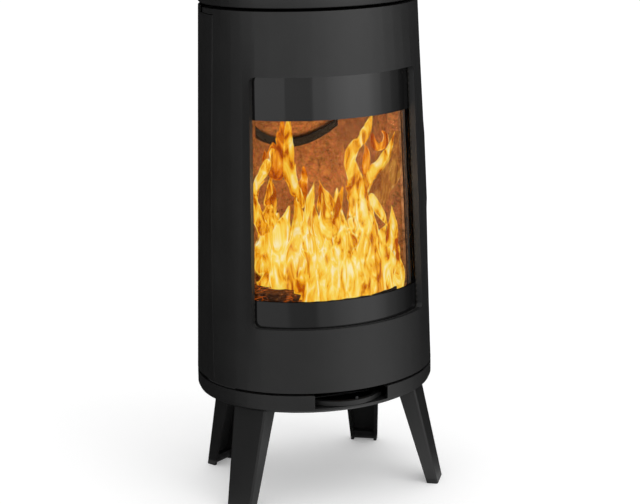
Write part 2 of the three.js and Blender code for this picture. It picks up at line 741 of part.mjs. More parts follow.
const addFloorPlate = () => {
  const outline = BASE_WALL + FLOOR_PLATE_PLAY;
  const slab = ovalStack([[outline, FLOOR_BOTTOM], [outline, FLOOR_TOP]]);
  const ring = (from, to) => sweep(stationsBetween(from, to), () => [
    [PANEL_RING_INSET, FLOOR_TOP - 1], [PANEL_RING_INSET + PANEL_RING_WIDTH, FLOOR_TOP - 1],
    [PANEL_RING_INSET + PANEL_RING_WIDTH, BODY_BOTTOM], [PANEL_RING_INSET, BODY_BOTTOM],
  ]);
  const recess = box(
    -NOTCH_HALF_WIDTH, NOTCH_HALF_WIDTH, -HALF_DEPTH_BOTTOM, -HALF_DEPTH_BOTTOM + RECESS_DEPTH,
    FLOOR_BOTTOM - 1, FLOOR_TOP + 1,
  );
  const pinHole = leaningPin(HINGE_PIN_RADIUS + RUNNING, FLOOR_BOTTOM - PIN_END, FLOOR_TOP + PIN_END);
  const airSlots = [-1, 1].map((side) => box(
    side * AIR_SLOT_X - AIR_SLOT_LENGTH / 2, side * AIR_SLOT_X + AIR_SLOT_LENGTH / 2,
    AIR_SLOT_Y - AIR_SLOT_WIDTH / 2, AIR_SLOT_Y + AIR_SLOT_WIDTH / 2, FLOOR_BOTTOM - PAST, FLOOR_TOP + PAST,
  ));
  const floor = cut(join(slab, ring(DOOR_HALF_ANGLE + 3, PANEL_RING_END)), recess, pinHole, ...airSlots);
  addPiece('floor_plate', floor, DARK_IRON);
};

// ---------------------------------------------------------------- air control
const valveBottom = BASE_FLOOR_TOP + SEAT;
const slideBottom = valveBottom + VALVE_SEAT + SEAT;
const slideTop = slideBottom + VALVE_PLATE;
const pullBottom = notchFloor + PULL_ABOVE_NOTCH;
const pullCentreY = -HALF_DEPTH_BOTTOM + PULL_RADIUS;
const pullEnd = {
  x: (PULL_RADIUS - PULL_DEPTH / 2) * Math.sin(radians(PULL_HALF_ANGLE)),
  y: pullCentreY - (PULL_RADIUS - PULL_DEPTH / 2) * Math.cos(radians(PULL_HALF_ANGLE)),
};
const armRear = pullEnd.y + PULL_ARM_LENGTH;
const pullScrewY = armRear - PULL_ARM_WIDTH / 2;

// The slots of seat and slide come into line when the control is pulled right out.
const valveSlots = (z0, z1, shift) => Array.from({ length: VALVE_SLOTS }, (_, i) => {
  const y = AIR_INLET_Y + shift + (i - (VALVE_SLOTS - 1) / 2) * 2 * PULL_TRAVEL;
  return box(
    -VALVE_SLOT_LENGTH / 2, VALVE_SLOT_LENGTH / 2, y - VALVE_SLOT_WIDTH / 2, y + VALVE_SLOT_WIDTH / 2,
    z0 - PAST, z1 + PAST,
  );
});

const addAirControl = () => {
  const seatHalf = VALVE_HALF_WIDTH + VALVE_SEAT_MARGIN;
  const seatTop = valveBottom + VALVE_SEAT;
  const seat = box(
    -seatHalf, seatHalf, AIR_INLET_Y - AIR_INLET_RADIUS - VALVE_SEAT_FRONT,
    AIR_INLET_Y + AIR_INLET_RADIUS + VALVE_SEAT_REAR, valveBottom, seatTop,
  );
  addPiece('air_valve_seat', cut(seat, ...valveSlots(valveBottom, seatTop, -PULL_TRAVEL / 2)), STEEL);

  const slide = box(
    -VALVE_HALF_WIDTH, VALVE_HALF_WIDTH, VALVE_FRONT_Y, VALVE_FRONT_Y + VALVE_LENGTH, slideBottom, slideTop,
  );
  const armX = pullEnd.x;
  const blocks = [-1, 1].map((side) => box(
    side * armX - PULL_ARM_WIDTH / 2, side * armX + PULL_ARM_WIDTH / 2, armRear - 2 * PULL_ARM_WIDTH, armRear,
    slideTop - 1, pullBottom - SEAT,
  ));
  const screwHoles = [-1, 1].map((side) => disc(
    side * armX, pullScrewY, PULL_SCREW_RADIUS + BOLT_PLAY, slideBottom - PAST, pullBottom, SMALL_ROUND,
  ));
  addPiece(
    'air_slide_plate',
    cut(join(slide, ...blocks), ...screwHoles, ...valveSlots(slideBottom, slideTop, PULL_TRAVEL / 2)),
    STEEL,
  );

  // The pull is a bow: two arcs about one centre, with an arm running back from each end.
  const arc = (radius, from, to, count) => Array.from({ length: count + 1 }, (_, i) => {
    const u = radians(mix(from, to, i / count));
    return [radius * Math.sin(u), pullCentreY - radius * Math.cos(u)];
  });
  const bow = plate([
    ...arc(PULL_RADIUS, -PULL_HALF_ANGLE, PULL_HALF_ANGLE, 16),
    ...arc(PULL_RADIUS - PULL_DEPTH, PULL_HALF_ANGLE, -PULL_HALF_ANGLE, 16),
  ], pullBottom, pullBottom + PULL_HEIGHT);
  const arms = [-1, 1].map((side) => box(
    side * armX - PULL_ARM_WIDTH / 2, side * armX + PULL_ARM_WIDTH / 2, pullEnd.y - 2, armRear,
    pullBottom, pullBottom + PULL_ARM_THICKNESS,
  ));
  const tabY = -HALF_DEPTH_BOTTOM + PULL_DEPTH;
  const tab = box(
    TAB_X - TAB_WIDTH / 2, TAB_X + TAB_WIDTH / 2, tabY - TAB_THICKNESS, tabY,
    pullBottom + PULL_HEIGHT - 1, pullBottom + PULL_HEIGHT + TAB_HEIGHT,
  );
  const holes = [-1, 1].map((side) => disc(
    side * armX, pullScrewY, PULL_SCREW_RADIUS + BOLT_PLAY, pullBottom - PAST,
    pullBottom + PULL_ARM_THICKNESS + PAST, SMALL_ROUND,
  ));
  addPiece('air_control_pull', cut(join(bow, ...arms, tab), ...holes), CAST_IRON);

  const screwTop = pullBottom + PULL_ARM_THICKNESS + SEAT + PULL_SCREW_HEAD;
  [['left', -1], ['right', 1]].forEach(([name, side]) => addPiece(`pull_screw_${name}`, hexBolt(
    side * armX, pullScrewY, PULL_SCREW_RADIUS, PULL_SCREW_HEAD_RADIUS, PULL_SCREW_HEAD,
    slideBottom + SEAT, screwTop, true,
  ), BRIGHT_STEEL));
};

// ---------------------------------------------------------------- firebox
const fireOpening = {
  half: FIRE_OPENING_HALF_ANGLE,
  bottom: HEARTH_TOP + FIRE_OPENING_SILL,
  top: FIREBOX_TOP - FIRE_OPENING_RIM,
  corner: OPENING_CORNER,
};
const ashOpening = {
  half: FIRE_OPENING_HALF_ANGLE,
  bottom: FLOOR_TOP + ASH_OPENING_SILL,
  top: FLOOR_TOP + ASH_OPENING_SILL + ASH_OPENING_HEIGHT,
  corner: OPENING_CORNER,
};
const feedZ = HEARTH_TOP + BAFFLE_FOOT_ABOVE_HEARTH - AIR_BAR_HEIGHT / 2;

const addFireboxBody = () => {
  const wall = sweepAround([
    [FIREBOX_INSET, FIREBOX_BOTTOM], [FIREBOX_INSET, FIREBOX_TOP],
    [FIREBOX_INSET + FIREBOX_WALL, FIREBOX_TOP], [FIREBOX_INSET + FIREBOX_WALL, FIREBOX_BOTTOM],
  ]);
  const ledgeTop = HEARTH_BOTTOM - SEAT;
  const ledges = LEDGE_ANGLES.map((middle) => sweep(
    stationsBetween(middle - LEDGE_HALF_ANGLE, middle + LEDGE_HALF_ANGLE),
    () => [
      [FIREBOX_INSET + FIREBOX_WALL / 2, ledgeTop - LEDGE_HEIGHT],
      [FIREBOX_INSET + FIREBOX_WALL + LEDGE_WIDTH, ledgeTop - LEDGE_HEIGHT],
      [FIREBOX_INSET + FIREBOX_WALL + LEDGE_WIDTH, ledgeTop],
      [FIREBOX_INSET + FIREBOX_WALL / 2, ledgeTop],
    ],
  ));
  const through = [FIREBOX_INSET - PAST, FIREBOX_INSET + FIREBOX_WALL + LEDGE_WIDTH + PAST];
  const body = cut(
    join(wall, ...ledges), curvedBlock(fireOpening, ...through), curvedBlock(ashOpening, ...through),
  );
  addPiece('firebox_body', body, DARK_IRON);
};

const addHearth = () => {
  const outline = FIREBOX_INSET + FIREBOX_WALL + WALL_PLAY;
  const sheet = ovalStack([[outline, HEARTH_BOTTOM], [outline, HEARTH_TOP]]);
  const hole = disc(0, 0, GRATE_HOLE_RADIUS, HEARTH_BOTTOM - 1, HEARTH_TOP + 1, BIG_ROUND);
  addPiece('hearth_plate', cut(sheet, hole), DARK_IRON);

  const grateBottom = HEARTH_TOP + SEAT;
  const slots = [];
  for (let i = 0; i < GRATE_SLOTS; i += 1) {
    const x = (i - (GRATE_SLOTS - 1) / 2) * GRATE_PITCH;
    const reach = Math.sqrt((GRATE_RADIUS - GRATE_RIM) ** 2 - x * x);
    slots.push(box(x - GRATE_SLOT / 2, x + GRATE_SLOT / 2, -reach, reach, grateBottom - 1,
      grateBottom + GRATE_THICKNESS + 1));
  }
  const grate = disc(0, 0, GRATE_RADIUS, grateBottom, grateBottom + GRATE_THICKNESS, BIG_ROUND);
  addPiece('grate', cut(grate, ...slots), DARK_IRON);

  const guardInset = LINER_INSET + GUARD_INSET;
  const frontInset = guardInset + GUARD_THICKNESS + SEAT;
  const brickTop = grateBottom + BRICK_THICKNESS;
  const bricks = cut(
    ovalStack([[frontInset, grateBottom], [frontInset, brickTop]]),
    disc(0, 0, GRATE_RADIUS + BRICK_PLAY, grateBottom - PAST, brickTop + PAST, BIG_ROUND),
    sweep(stationsBetween(LINER_FRONT_ANGLE - 1, 360 - LINER_FRONT_ANGLE + 1), () => [
      [FIREBOX_INSET, grateBottom - PAST], [LINER_INNER + SEAT, grateBottom - PAST],
      [LINER_INNER + SEAT, brickTop + PAST], [FIREBOX_INSET, brickTop + PAST],
    ]),
    box(-SEAT, SEAT, -FAR, FAR, grateBottom - PAST, brickTop + PAST),
  );
  const rightHalf = box(0, FAR, -FAR, FAR, 0, FAR);
  addPiece('hearth_brick_left', bricks.subtract(rightHalf), BRICK);
  addPiece('hearth_brick_right', bricks.intersect(rightHalf), BRICK);

  const guard = sweep(stationsBetween(-GUARD_HALF_ANGLE, GUARD_HALF_ANGLE), () => [
    [guardInset, grateBottom], [guardInset + GUARD_THICKNESS, grateBottom],
    [guardInset + GUARD_THICKNESS, grateBottom + GUARD_HEIGHT], [guardInset, grateBottom + GUARD_HEIGHT],
  ]);
  addPiece('log_guard', guard, DARK_IRON);
};

// The baffle is a flat board that leans forward and up from the rear lining.
const baffleFootZ = HEARTH_TOP + BAFFLE_FOOT_ABOVE_HEARTH;
const baffleFootY = skinPoint(180, LINER_INNER, baffleFootZ).y;
const baffleHeightAt = (y) => baffleFootZ + (baffleFootY - y) * Math.tan(radians(BAFFLE_SLOPE));

const leaningBlock = (lower, upper, from, to) => {
  const geometry = new THREE.BoxGeometry(FAR, upper - lower, to - from);
  geometry.translate(0, (lower + upper) / 2, (from + to) / 2);
  geometry.rotateX(radians(90 - BAFFLE_SLOPE));
  geometry.translate(0, baffleFootY, baffleFootZ);
  return toSolid(geometry);
};

const addLining = () => {
  const bottom = HEARTH_TOP + SEAT;
  const top = FIREBOX_TOP - LINER_BELOW_TOP;
  const above = leaningBlock(-SEAT, FAR, -FAR, FAR);
  const liner = (from, to) => sweep(stationsBetween(from, to), () => [
    [LINER_INSET, bottom], [LINER_INSET, top], [LINER_INNER, top], [LINER_INNER, bottom],
  ]);
  const feedHole = rod(0, feedZ, AIR_BAR_FEED_RADIUS + BOLT_PLAY, 0, HALF_DEPTH_BOTTOM, ROUND);
  addPiece('liner_right', liner(LINER_FRONT_ANGLE, LINER_CORNER_ANGLE).subtract(above), VERMICULITE);
  addPiece('liner_left', liner(-LINER_CORNER_ANGLE, -LINER_FRONT_ANGLE).subtract(above), VERMICULITE);
  const rear = liner(LINER_CORNER_ANGLE + LINER_JOINT_ANGLE, 360 - LINER_CORNER_ANGLE - LINER_JOINT_ANGLE);
  addPiece('liner_rear', rear.subtract(feedHole), VERMICULITE);

  // It rests on the slanting tops of the side linings, and its foot stands against the rear one.
  const room = ovalStack([
    [LINER_INSET + SEAT, baffleFootZ - 1], [LINER_INSET + SEAT, baffleFootZ + BAFFLE_RISE],
  ]);
  const board = leaningBlock(0, BAFFLE_THICKNESS, -FAR / 2, FAR / 2);
  const rearRoom = sweep(
    stationsBetween(LINER_CORNER_ANGLE - LINER_JOINT_ANGLE, 360 - LINER_CORNER_ANGLE + LINER_JOINT_ANGLE),
    () => [
      [LINER_INSET - 5, bottom], [LINER_INSET - 5, top + 50],
      [LINER_INNER + SEAT, top + 50], [LINER_INNER + SEAT, bottom],
    ],
  );
  addPiece('baffle_board', room.intersect(board).subtract(rearRoom), VERMICULITE);

  const barInset = LINER_INNER + SEAT;
  const bar = sweep(
    stationsBetween(180 - AIR_BAR_HALF_ANGLE, 180 + AIR_BAR_HALF_ANGLE),
    (d) => {
      const z = baffleHeightAt(skinPoint(d, barInset, baffleFootZ).y) - 2 * SEAT;
      return [
        [barInset, z - AIR_BAR_HEIGHT], [barInset + AIR_BAR_DEPTH, z - AIR_BAR_HEIGHT],
        [barInset + AIR_BAR_DEPTH, z], [barInset, z],
      ];
    },
  );
  const feedFrom = skinPoint(180, barInset + AIR_BAR_DEPTH / 2, feedZ).y;
  const feed = rod(0, feedZ, AIR_BAR_FEED_RADIUS, feedFrom, HALF_DEPTH_BOTTOM, ROUND);
  const inside = ovalStack([[LINER_INSET, feedZ - 50], [LINER_INSET, feedZ + 50]]);
  addPiece('air_bar', join(bar, feed.intersect(inside)), DARK_IRON);
};

// ---------------------------------------------------------------- top
const addTop = () => {
  const sheetInset = FIREBOX_INSET - TOP_SHEET_OVERHANG;
  const flueY = FLUE_BEHIND_CENTRE;
  const sheet = ovalStack([[sheetInset, TOP_SHEET_BOTTOM], [sheetInset, TOP_SHEET_TOP]]);
  const flueHole = disc(
    0, flueY, FLUE_RADIUS - FLUE_WALL, TOP_SHEET_BOTTOM - PAST, TOP_SHEET_TOP + PAST, BIG_ROUND,
  );
  const flangeBottom = TOP_SHEET_TOP + SEAT;
  const flangeTop = flangeBottom + COLLAR_FLANGE_THICKNESS;
  const boltRing = FLUE_RADIUS + COLLAR_BOLT_OUT;
  const boltAt = Array.from({ length: COLLAR_BOLTS }, (_, i) => {
    const u = 2 * Math.PI * (i + 0.25) / COLLAR_BOLTS;
    return [boltRing * Math.cos(u), flueY + boltRing * Math.sin(u)];
  });
  const boltHoles = boltAt.map(([x, y]) => disc(
    x, y, COLLAR_BOLT_RADIUS + BOLT_PLAY, TOP_SHEET_BOTTOM - PAST, flangeTop + PAST, SMALL_ROUND,
  ));
  addPiece('firebox_top', cut(sheet, flueHole, ...boltHoles), DARK_IRON);

  const collarTop = LID_TOP + FLUE_ABOVE_LID;
  const profile = [
    [FLUE_RADIUS - FLUE_WALL, flangeBottom], [FLUE_RADIUS + COLLAR_FLANGE, flangeBottom],
    [FLUE_RADIUS + COLLAR_FLANGE, flangeTop], [FLUE_RADIUS, flangeTop],
    [FLUE_RADIUS, collarTop], [FLUE_RADIUS - FLUE_WALL, collarTop],
    [FLUE_RADIUS - FLUE_WALL, flangeBottom],
  ].map(([r, z]) => new THREE.Vector2(r, z));
  const lathe = new THREE.LatheGeometry(profile, BIG_ROUND);
  lathe.rotateX(Math.PI / 2);
  lathe.translate(0, flueY, 0);
  addPiece('flue_collar', cut(toSolid(lathe), ...boltHoles), CAST_IRON);

  const headTop = flangeTop + SEAT + COLLAR_BOLT_HEAD;
  boltAt.forEach(([x, y], i) => addPiece(`collar_bolt_${i + 1}`, hexBolt(
    x, y, COLLAR_BOLT_RADIUS, COLLAR_BOLT_HEAD_RADIUS, COLLAR_BOLT_HEAD,
    TOP_SHEET_BOTTOM + SEAT, headTop, true,
  ), BRIGHT_STEEL));

  const lid = ovalStack([
    [LID_EDGE / 2, LID_BOTTOM], [0, LID_BOTTOM + LID_EDGE / 2],
    [0, LID_TOP - LID_EDGE], [LID_EDGE * 0.3, LID_TOP - LID_EDGE * 0.3], [LID_EDGE, LID_TOP],
  ]);
  const ringInset = FIREBOX_INSET + LID_RING_INSET;
  const ring = sweepAround([
    [ringInset, TOP_SHEET_TOP + SEAT], [ringInset + LID_RING_WIDTH, TOP_SHEET_TOP + SEAT],
    [ringInset + LID_RING_WIDTH, LID_BOTTOM + 1], [ringInset, LID_BOTTOM + 1],
  ], 2 * STEP);
  const hole = disc(0, flueY, FLUE_RADIUS + LID_HOLE_PLAY, LID_BOTTOM - 1, LID_TOP + 1, BIG_ROUND);
  addPiece('top_plate', cut(join(lid, ring), hole), CAST_IRON);
};

// ---------------------------------------------------------------- side handle geometry
const handleBottom = BODY_BOTTOM + HANDLE_BOTTOM;
const handleTop = handleBottom + HANDLE_LENGTH;
const handleMiddle = (handleBottom + handleTop) / 2;
const handlePin = skinPoint(HANDLE_PIN_ANGLE, HANDLE_PIN_INSET, handleMiddle);
const grip = skinPoint(GRIP_ANGLE, GRIP_INSET, handleMiddle);

// A straight bar in plan, from one point to another.
const barPlan = (ax, ay, bx, by, width) => {
  const length = Math.hypot(bx - ax, by - ay);
  const nx = (-(by - ay) / length) * (width / 2);
  const ny = ((bx - ax) / length) * (width / 2);
  return [[ax + nx, ay + ny], [ax - nx, ay - ny], [bx - nx, by - ny], [bx + nx, by + ny]];
};

// Turns a plan point about the handle's pin, clockwise from above.
const turned = (x, y, degrees) => {
  const u = radians(-degrees);
  return [
    handlePin.x + (x - handlePin.x) * Math.cos(u) - (y - handlePin.y) * Math.sin(u),
    handlePin.y + (x - handlePin.x) * Math.sin(u) + (y - handlePin.y) * Math.cos(u),
  ];
};

const addHandle = () => {
  const hookZ0 = handleMiddle - HOOK_HEIGHT / 2;
  const hookZ1 = handleMiddle + HOOK_HEIGHT / 2;
  const knuckle = disc(handlePin.x, handlePin.y, HANDLE_KNUCKLE_RADIUS, handleBottom, handleTop);
  const arm = plate(barPlan(handlePin.x, handlePin.y, grip.x, grip.y, HANDLE_BAR), handleBottom, handleTop);
  const gripBar = disc(grip.x, grip.y, GRIP_RADIUS, handleBottom, handleTop);
  const hookEndY = handlePin.y + HOOK_REACH;
  const shank = barPlan(handlePin.x, handlePin.y, handlePin.x, hookEndY, HOOK_BAR);
  const nose = [
    [handlePin.x + HOOK_BAR / 2, hookEndY], [handlePin.x - HOOK_NOSE, hookEndY],
    [handlePin.x - HOOK_NOSE, hookEndY - HOOK_BAR + 1], [handlePin.x + HOOK_BAR / 2, hookEndY - HOOK_BAR + 1],
  ];
  const hookPieces = [shank, nose].map((outline) => (
    plate(outline.map(([x, y]) => turned(x, y, LOCK_ANGLE)), hookZ0, hookZ1)
  ));
  const bore = disc(
    handlePin.x, handlePin.y, HANDLE_PIN_RADIUS + RUNNING, handleBottom - 1, handleTop + 1,
  );
  addPiece('side_handle', cut(join(knuckle, arm, gripBar, ...hookPieces), bore), CAST_IRON);

  const pin = disc(
    handlePin.x, handlePin.y, HANDLE_PIN_RADIUS, handleBottom - LUG_PLAY - LUG_THICKNESS,
    handleTop + LUG_PLAY + LUG_THICKNESS,
  );
  addPiece('handle_pin', pin, BRIGHT_STEEL);

  const keeperY = handlePin.y + HOOK_REACH - HOOK_BAR + 1 - KEEPER_PLAY;
  const wallX = skinPoint(DOOR_HALF_ANGLE, FIREBOX_INSET, handleMiddle).x;
  const keeper = box(
    wallX - 2 * KEEPER_LENGTH, handlePin.x - HOOK_BAR / 2 - KEEPER_SIDE_PLAY,
    keeperY - KEEPER_THICKNESS, keeperY, hookZ0, hookZ1,
  );
  const bodyOutline = ovalStack([
    [FIREBOX_INSET - SEAT, FIREBOX_BOTTOM], [FIREBOX_INSET - SEAT, FIREBOX_TOP],
  ]);
  addPiece('latch_keeper', keeper.subtract(bodyOutline), STEEL);
};

// ---------------------------------------------------------------- hinge pieces
const earTop = BODY_TOP - EAR_BELOW_TOP;
const earBottom = earTop - EAR_THICKNESS;
const leafTop = BODY_BOTTOM - SEAT;
const leafBottom = leafTop - LEAF_THICKNESS;

const earSolid = () => {
  const axis = hingeAt((earBottom + BODY_TOP) / 2);
  const reach = join(
    box(-HALF_WIDTH_BOTTOM, axis.x + EAR_RADIUS, EAR_FRONT_Y, HINGE_Y, earBottom, earTop),
    disc(axis.x, axis.y, EAR_RADIUS, earBottom, earTop),
  );
  const outline = ovalStack([[0, earBottom - 1], [0, BODY_TOP]]);
  return reach.intersect(outline);
};

const addHinges = () => {
  const bracketTop = earBottom - EAR_BRACKET_GAP;
  const axis = hingeAt(bracketTop);
  const wall = skinPoint(-90, FIREBOX_INSET - SEAT, bracketTop);
  const bracketBottom = bracketTop - BRACKET_HEIGHT;
  const bracket = join(
    box(axis.x, wall.x, HINGE_Y - BRACKET_RADIUS, HINGE_Y + BRACKET_RADIUS, bracketBottom, bracketTop),
    disc(axis.x, axis.y, BRACKET_RADIUS, bracketBottom, bracketTop),
  );
  const sheetClear = ovalStack([
    [FIREBOX_INSET - SEAT, bracketTop - 2 * BRACKET_HEIGHT], [FIREBOX_INSET - SEAT, TOP_SHEET_BOTTOM - SEAT],
    [FIREBOX_INSET - TOP_SHEET_OVERHANG - SEAT, TOP_SHEET_BOTTOM - SEAT + 0.01],
    [FIREBOX_INSET - TOP_SHEET_OVERHANG - SEAT, BODY_TOP],
  ]);
  const pinRoom = leaningPin(HINGE_PIN_RADIUS + RUNNING, bracketBottom - PIN_END, BODY_TOP + PIN_END);
  addPiece('hinge_bracket_upper', cut(bracket, sheetClear, pinRoom), STEEL);
  addPiece('hinge_pin_upper', leaningPin(HINGE_PIN_RADIUS, bracketBottom, earTop), BRIGHT_STEEL);

  const leafAxis = hingeAt(leafBottom);
  const leafPlan = join(
    box(leafAxis.x - LEAF_RADIUS, leafAxis.x + LEAF_RADIUS + 8, LEAF_FRONT_Y, HINGE_Y, leafBottom, leafTop),
    disc(leafAxis.x, leafAxis.y, LEAF_RADIUS, leafBottom, leafTop),
  );
  const leafOutline = ovalStack([[2, leafBottom - 1], [2, leafTop + 1]]);
  const lowerRoom = leaningPin(HINGE_PIN_RADIUS + RUNNING, leafBottom - PIN_END, leafTop + PIN_END);
  addPiece('hinge_leaf_lower', leafPlan.intersect(leafOutline).subtract(lowerRoom), STEEL);
  const lowerPin = join(
    leaningPin(HINGE_PIN_RADIUS, FLOOR_BOTTOM, leafTop),
    disc(leafAxis.x, leafAxis.y, WASHER_RADIUS, FLOOR_TOP + WASHER_PLAY, leafBottom - WASHER_PLAY),
  );
  addPiece('hinge_pin_lower', lowerPin, BRIGHT_STEEL);
};

// ---------------------------------------------------------------- body panels
const handleRecess = () => sweep(
  stationsBetween(DOOR_HALF_ANGLE - 3, RECESS_ANGLE),
  () => [
    [-8, handleBottom - HANDLE_RECESS_PLAY], [PANEL_FLANGE_WIDTH, handleBottom - HANDLE_RECESS_PLAY],
    [PANEL_FLANGE_WIDTH, handleTop + HANDLE_RECESS_PLAY], [-8, handleTop + HANDLE_RECESS_PLAY],
  ],
);

const addPanels = () => {
  const bottom = BODY_BOTTOM + SEAT;
  const sideSection = panelSection(bottom, BODY_TOP, SKIN, PANEL_FLANGE_WIDTH);
  const rearEdge = REAR_EDGE_ANGLE - PANEL_JOINT_ANGLE;
  const seamAngle = SEAM / millimetresPerDegree(DOOR_HALF_ANGLE, handleMiddle);

  const right = sweep(stationsBetween(DOOR_HALF_ANGLE + seamAngle, rearEdge), () => sideSection);
  addPiece('side_panel_right', right.subtract(handleRecess()), CAST_IRON);

  const inner = stationsBetween(-rearEdge, -DOOR_HALF_ANGLE - 2).slice(0, -1);
  const left = sweep([...inner, seamStation(-SEAM / 2)], () => sideSection);
  const earNotch = box(
    -HALF_WIDTH_BOTTOM - 5, hingeAt(BODY_TOP).x + EAR_RADIUS + 5, EAR_FRONT_Y - 10, EAR_NOTCH_REAR_Y,
    earBottom - EAR_PLAY, BODY_TOP + 1,
  );
  const leafRelief = box(
    -HALF_WIDTH_BOTTOM - 5, hingeAt(BODY_BOTTOM).x + EAR_RADIUS + 10, -HALF_DEPTH_BOTTOM, LEAF_RELIEF_REAR_Y,
    BODY_BOTTOM - 1, bottom + LEAF_RELIEF,
  );
  addPiece('side_panel_left', cut(left, earNotch, leafRelief), CAST_IRON);

  const rear = sweep(
    stationsBetween(REAR_EDGE_ANGLE + PANEL_JOINT_ANGLE, 360 - REAR_EDGE_ANGLE - PANEL_JOINT_ANGLE),
    () => panelSection(bottom, BODY_TOP, REAR_SKIN, PANEL_FLANGE_WIDTH),
  );
  const vents = Array.from({ length: VENT_COUNT }, (_, i) => {
    const x = (i - (VENT_COUNT - 1) / 2) * VENT_PITCH;
    return box(x - VENT_WIDTH / 2, x + VENT_WIDTH / 2, 0, FAR, BODY_TOP - VENT_FROM_TOP,
      BODY_TOP - VENT_FROM_TOP + VENT_HEIGHT);
  });
  addPiece('rear_panel', rear.subtract(join(...vents)), STEEL);
};

// ---------------------------------------------------------------- door
const windowOutline = {
  half: WINDOW_HALF_ANGLE,
  bottom: BODY_BOTTOM + WINDOW_SILL,
  top: BODY_BOTTOM + WINDOW_SILL + WINDOW_HEIGHT,
  corner: WINDOW_CORNER,
};
const frameOutline = {
  half: INNER_FRAME_HALF_ANGLE,
  bottom: BODY_BOTTOM + INNER_FRAME_MARGIN,
  top: BODY_TOP - INNER_FRAME_TOP_MARGIN,
  corner: 0,
};
const innerWindow = {
  half: INNER_WINDOW_HALF_ANGLE,
  bottom: BODY_BOTTOM + INNER_WINDOW_SILL,
  top: BODY_BOTTOM + INNER_WINDOW_SILL + INNER_WINDOW_HEIGHT,
  corner: WINDOW_CORNER,
};

const frameScrewAt = [-FRAME_SCREW_ANGLE, 0, FRAME_SCREW_ANGLE].flatMap((d) => [
  [d, frameOutline.bottom + FRAME_SCREW_UP], [d, frameOutline.top - FRAME_SCREW_DOWN],
]);

// A stem square to the inner frame, between two depths counted inwards from the frame's outer face.
const frameStem = ([d, z], radius, from, to) => {
  const inward = skinNormal(d, FRAME_INSET, z).negate();
  const geometry = new THREE.CylinderGeometry(radius, radius, to - from, FRAME_SCREW_SIDES);
  geometry.applyQuaternion(new THREE.Quaternion().setFromUnitVectors(new THREE.Vector3(0, 1, 0), inward));
  const middle = skinPoint(d, FRAME_INSET, z).addScaledVector(inward, (from + to) / 2);
  geometry.translate(middle.x, middle.y, middle.z);
  return toSolid(geometry);
};

const addDoorShell = () => {
  const section = panelSection(BODY_BOTTOM, BODY_TOP, SKIN, FLANGE_WIDTH, FLANGE_WIDTH);
  const seamAngles = stationsBetween(-DOOR_HALF_ANGLE + 4, DOOR_HALF_ANGLE).slice(1);
  const skin = sweep([seamStation(SEAM / 2), ...seamAngles], () => section);
  const reveal = curvedBlock(grown(windowOutline, REVEAL_WALL), SKIN / 2, REVEAL_DEPTH);
  const opening = curvedBlock(windowOutline, -12, REVEAL_DEPTH + 12);
  const lug = (z0) => sweep([HANDLE_PIN_ANGLE - 3, HANDLE_PIN_ANGLE + 2.5], () => [
    [SKIN / 2, z0], [HANDLE_PIN_INSET + 8, z0],
    [HANDLE_PIN_INSET + 8, z0 + LUG_THICKNESS], [SKIN / 2, z0 + LUG_THICKNESS],
  ]);
  const pinRoom = disc(
    handlePin.x, handlePin.y, HANDLE_PIN_RADIUS + RUNNING, handleBottom - 30, handleTop + 30,
  );
  const knuckleRoom = disc(
    handlePin.x, handlePin.y, HANDLE_KNUCKLE_RADIUS + 1, handleBottom - LUG_PLAY, handleTop + LUG_PLAY,
  );
  const edgeRoom = sweep([HANDLE_PIN_ANGLE + 0.6, DOOR_HALF_ANGLE + 1], () => [
    [-8, handleBottom - LUG_PLAY], [HANDLE_PIN_INSET + 8, handleBottom - LUG_PLAY],
    [HANDLE_PIN_INSET + 8, handleTop + LUG_PLAY], [-8, handleTop + LUG_PLAY],
  ]);
  const earPin = leaningPin(HINGE_PIN_RADIUS + RUNNING, earBottom - PIN_END, BODY_TOP + PIN_END);
  const lugs = [lug(handleBottom - LUG_PLAY - LUG_THICKNESS), lug(handleTop + LUG_PLAY)];
  const bosses = frameScrewAt.map((place) => (
    frameStem(place, FRAME_BOSS_RADIUS, -(FRAME_INSET - SKIN / 2), -SEAT)
  ));
  const threads = frameScrewAt.map((place) => (
    frameStem(place, FRAME_SCREW_RADIUS + RUNNING, -FRAME_SCREW_REACH - PAST, 0)
  ));
  const shell = cut(
    join(skin, reveal, ...lugs, ...bosses, earSolid()),
    opening, pinRoom, knuckleRoom, edgeRoom, earPin, ...threads,
  );
  addPiece('door_shell', shell, CAST_IRON);
};

